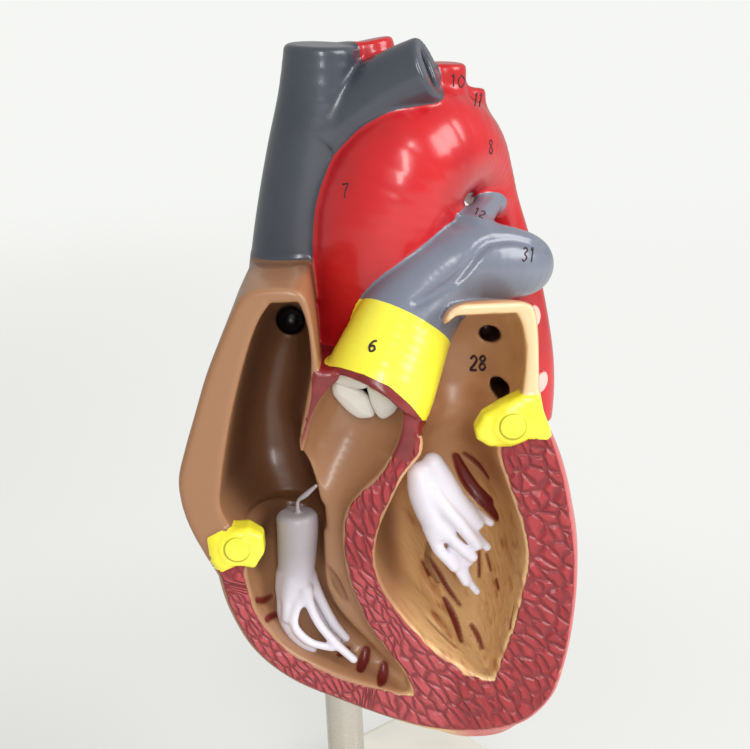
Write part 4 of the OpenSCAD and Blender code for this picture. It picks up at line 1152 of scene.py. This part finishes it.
def ink_line(path, radius):
    """Vertices and faces of a closed round thread along a path."""
    sides, rings = 6, []
    for i, p in enumerate(path):
        way = heading(path, i)
        u = unit(np.cross(way, (0.3, 0.9, 0.2)))
        v = np.cross(way, u)
        rings.append([p + radius * (math.cos(a) * u + math.sin(a) * v)
            for a in np.arange(sides) * 2 * math.pi / sides])
    vertices = [path[0]] + [q for ring in rings for q in ring] + [path[-1]]
    faces = []
    for k in range(sides):
        n = (k + 1) % sides
        faces.append((0, 1 + n, 1 + k))
        for i in range(len(path) - 1):
            a, b = 1 + i * sides + k, 1 + i * sides + n
            faces += [(a, b, b + sides), (a, b + sides, a + sides)]
        last = 1 + (len(path) - 1) * sides
        faces.append((len(vertices) - 1, last + k, last + n))
    return vertices, faces


vertices, faces = [], []
for text, x, z, width, height, slope, thick in NUMERALS:
    turn = math.radians(slope)
    step = width / len(text)
    for place, digit in enumerate(text):
        for stroke in DIGITS[digit]:
            line = smooth(stroke, 4)
            u = (line[:, 0] * 0.82 + place) * step - width / 2
            v = (line[:, 1] - 0.5) * height
            marks = np.stack([x + u * math.cos(turn) - v * math.sin(turn),
                z + u * math.sin(turn) + v * math.cos(turn)], 1)
            at, seen = sight(marks, G, solid)
            if seen.all():
                new, quad = ink_line(at, thick * 0.8)
                faces += [tuple(i + len(vertices) for i in f) for f in quad]
                vertices += new
add_mesh("Numerals", vertices, faces, ink)

# ---- Camera, lights and floor ----

camera_data = bpy.data.cameras.new("camera")
camera = put("camera", camera_data)
scene.camera = camera
PITCH = math.radians(16)
ROLL = 0.0426
FOCAL_PX = 1150
IMAGE_WIDTH = 750
up0 = Vector((0, math.sin(PITCH), math.cos(PITCH)))
right = Vector((1, 0, 0)) * math.cos(ROLL) - up0 * math.sin(ROLL)
up = up0 * math.cos(ROLL) + Vector((1, 0, 0)) * math.sin(ROLL)
ahead = Vector((0, math.cos(PITCH), -math.sin(PITCH)))
turn = Matrix((right, up, -ahead)).transposed()
camera.matrix_world = Matrix.Translation([c * MM for c in EYE]) @ turn.to_4x4()
camera_data.sensor_width = 36
camera_data.lens = FOCAL_PX * camera_data.sensor_width / IMAGE_WIDTH
camera_data.clip_start = 0.01


def area_light(name, place, target, size, power):
    data = bpy.data.lights.new(name, "AREA")
    data.shape = "RECTANGLE"
    data.size, data.size_y = size
    data.energy = power
    lamp = put(name, data)
    lamp.location = place
    lamp.rotation_euler = (Vector(target) - Vector(place)).to_track_quat("-Z", "Y").to_euler()


area_light("window", (0.1, -0.85, 0.52), (0, 0, 0.14), (0.14, 0.6), 3.8)
area_light("side", (0.75, -0.3, 0.6), (0, 0, 0.13), (0.5, 0.5), 5.5)

BACKDROP = (0.92, 0.93, 0.905, 1)
world = bpy.data.worlds.new("world")
scene.world = world
world.use_nodes = True
t = world.node_tree
t.nodes["Background"].inputs["Color"].default_value = (0.96, 0.97, 0.95, 1)
t.nodes["Background"].inputs["Strength"].default_value = 0.5
seen = add(t, "LightPath").outputs["Is Camera Ray"]
backdrop = add(t, "Background", {"Color": BACKDROP, "Strength": 1.0})
either = add(t, "MixShader", {0: seen, 1: t.nodes["Background"].outputs[0], 2: backdrop.outputs[0]})
t.links.new(either.outputs[0], t.nodes["World Output"].inputs[0])

floor_mesh = bpy.data.meshes.new("floor")
floor_mesh.from_pydata([(-8, -8, 0), (8, -8, 0), (8, 8, 0), (-8, 8, 0)], [], [(0, 1, 2, 3)])
floor = put("floor", floor_mesh)
m, t, s = new_material("floor", 0.7)
place = place_of(t)
s.inputs["Base Color"].default_value = (0.9, 0.905, 0.885, 1)
x = add(t, "SeparateXYZ", {0: place}).outputs["X"]
away = add(t, "VectorMath", {0: place}, operation="LENGTH").outputs["Value"]
# The floor as the eye sees it: painted shade darker toward the left, fading out to the even backdrop far off.
shaded_floor_tone = mix(t, ramp(t, x, -0.3, 0.15), (0.80, 0.805, 0.775, 1), (0.90, 0.905, 0.88, 1))
shaded_floor_tone = mix(t, ramp(t, away, 0.3, 1.6), shaded_floor_tone, BACKDROP)
glow = add(t, "Emission", {"Color": shaded_floor_tone, "Strength": 1.0}).outputs[0]
share = times(t, add(t, "LightPath").outputs["Is Camera Ray"], ramp(t, away, 0.1, 0.3, 0.35, 1.0))
both = add(t, "MixShader", {0: share, 1: s.outputs[0], 2: glow})
t.links.new(both.outputs[0], t.nodes["Material Output"].inputs[0])
floor_mesh.materials.append(m)
scene.view_settings.view_transform = "Standard"
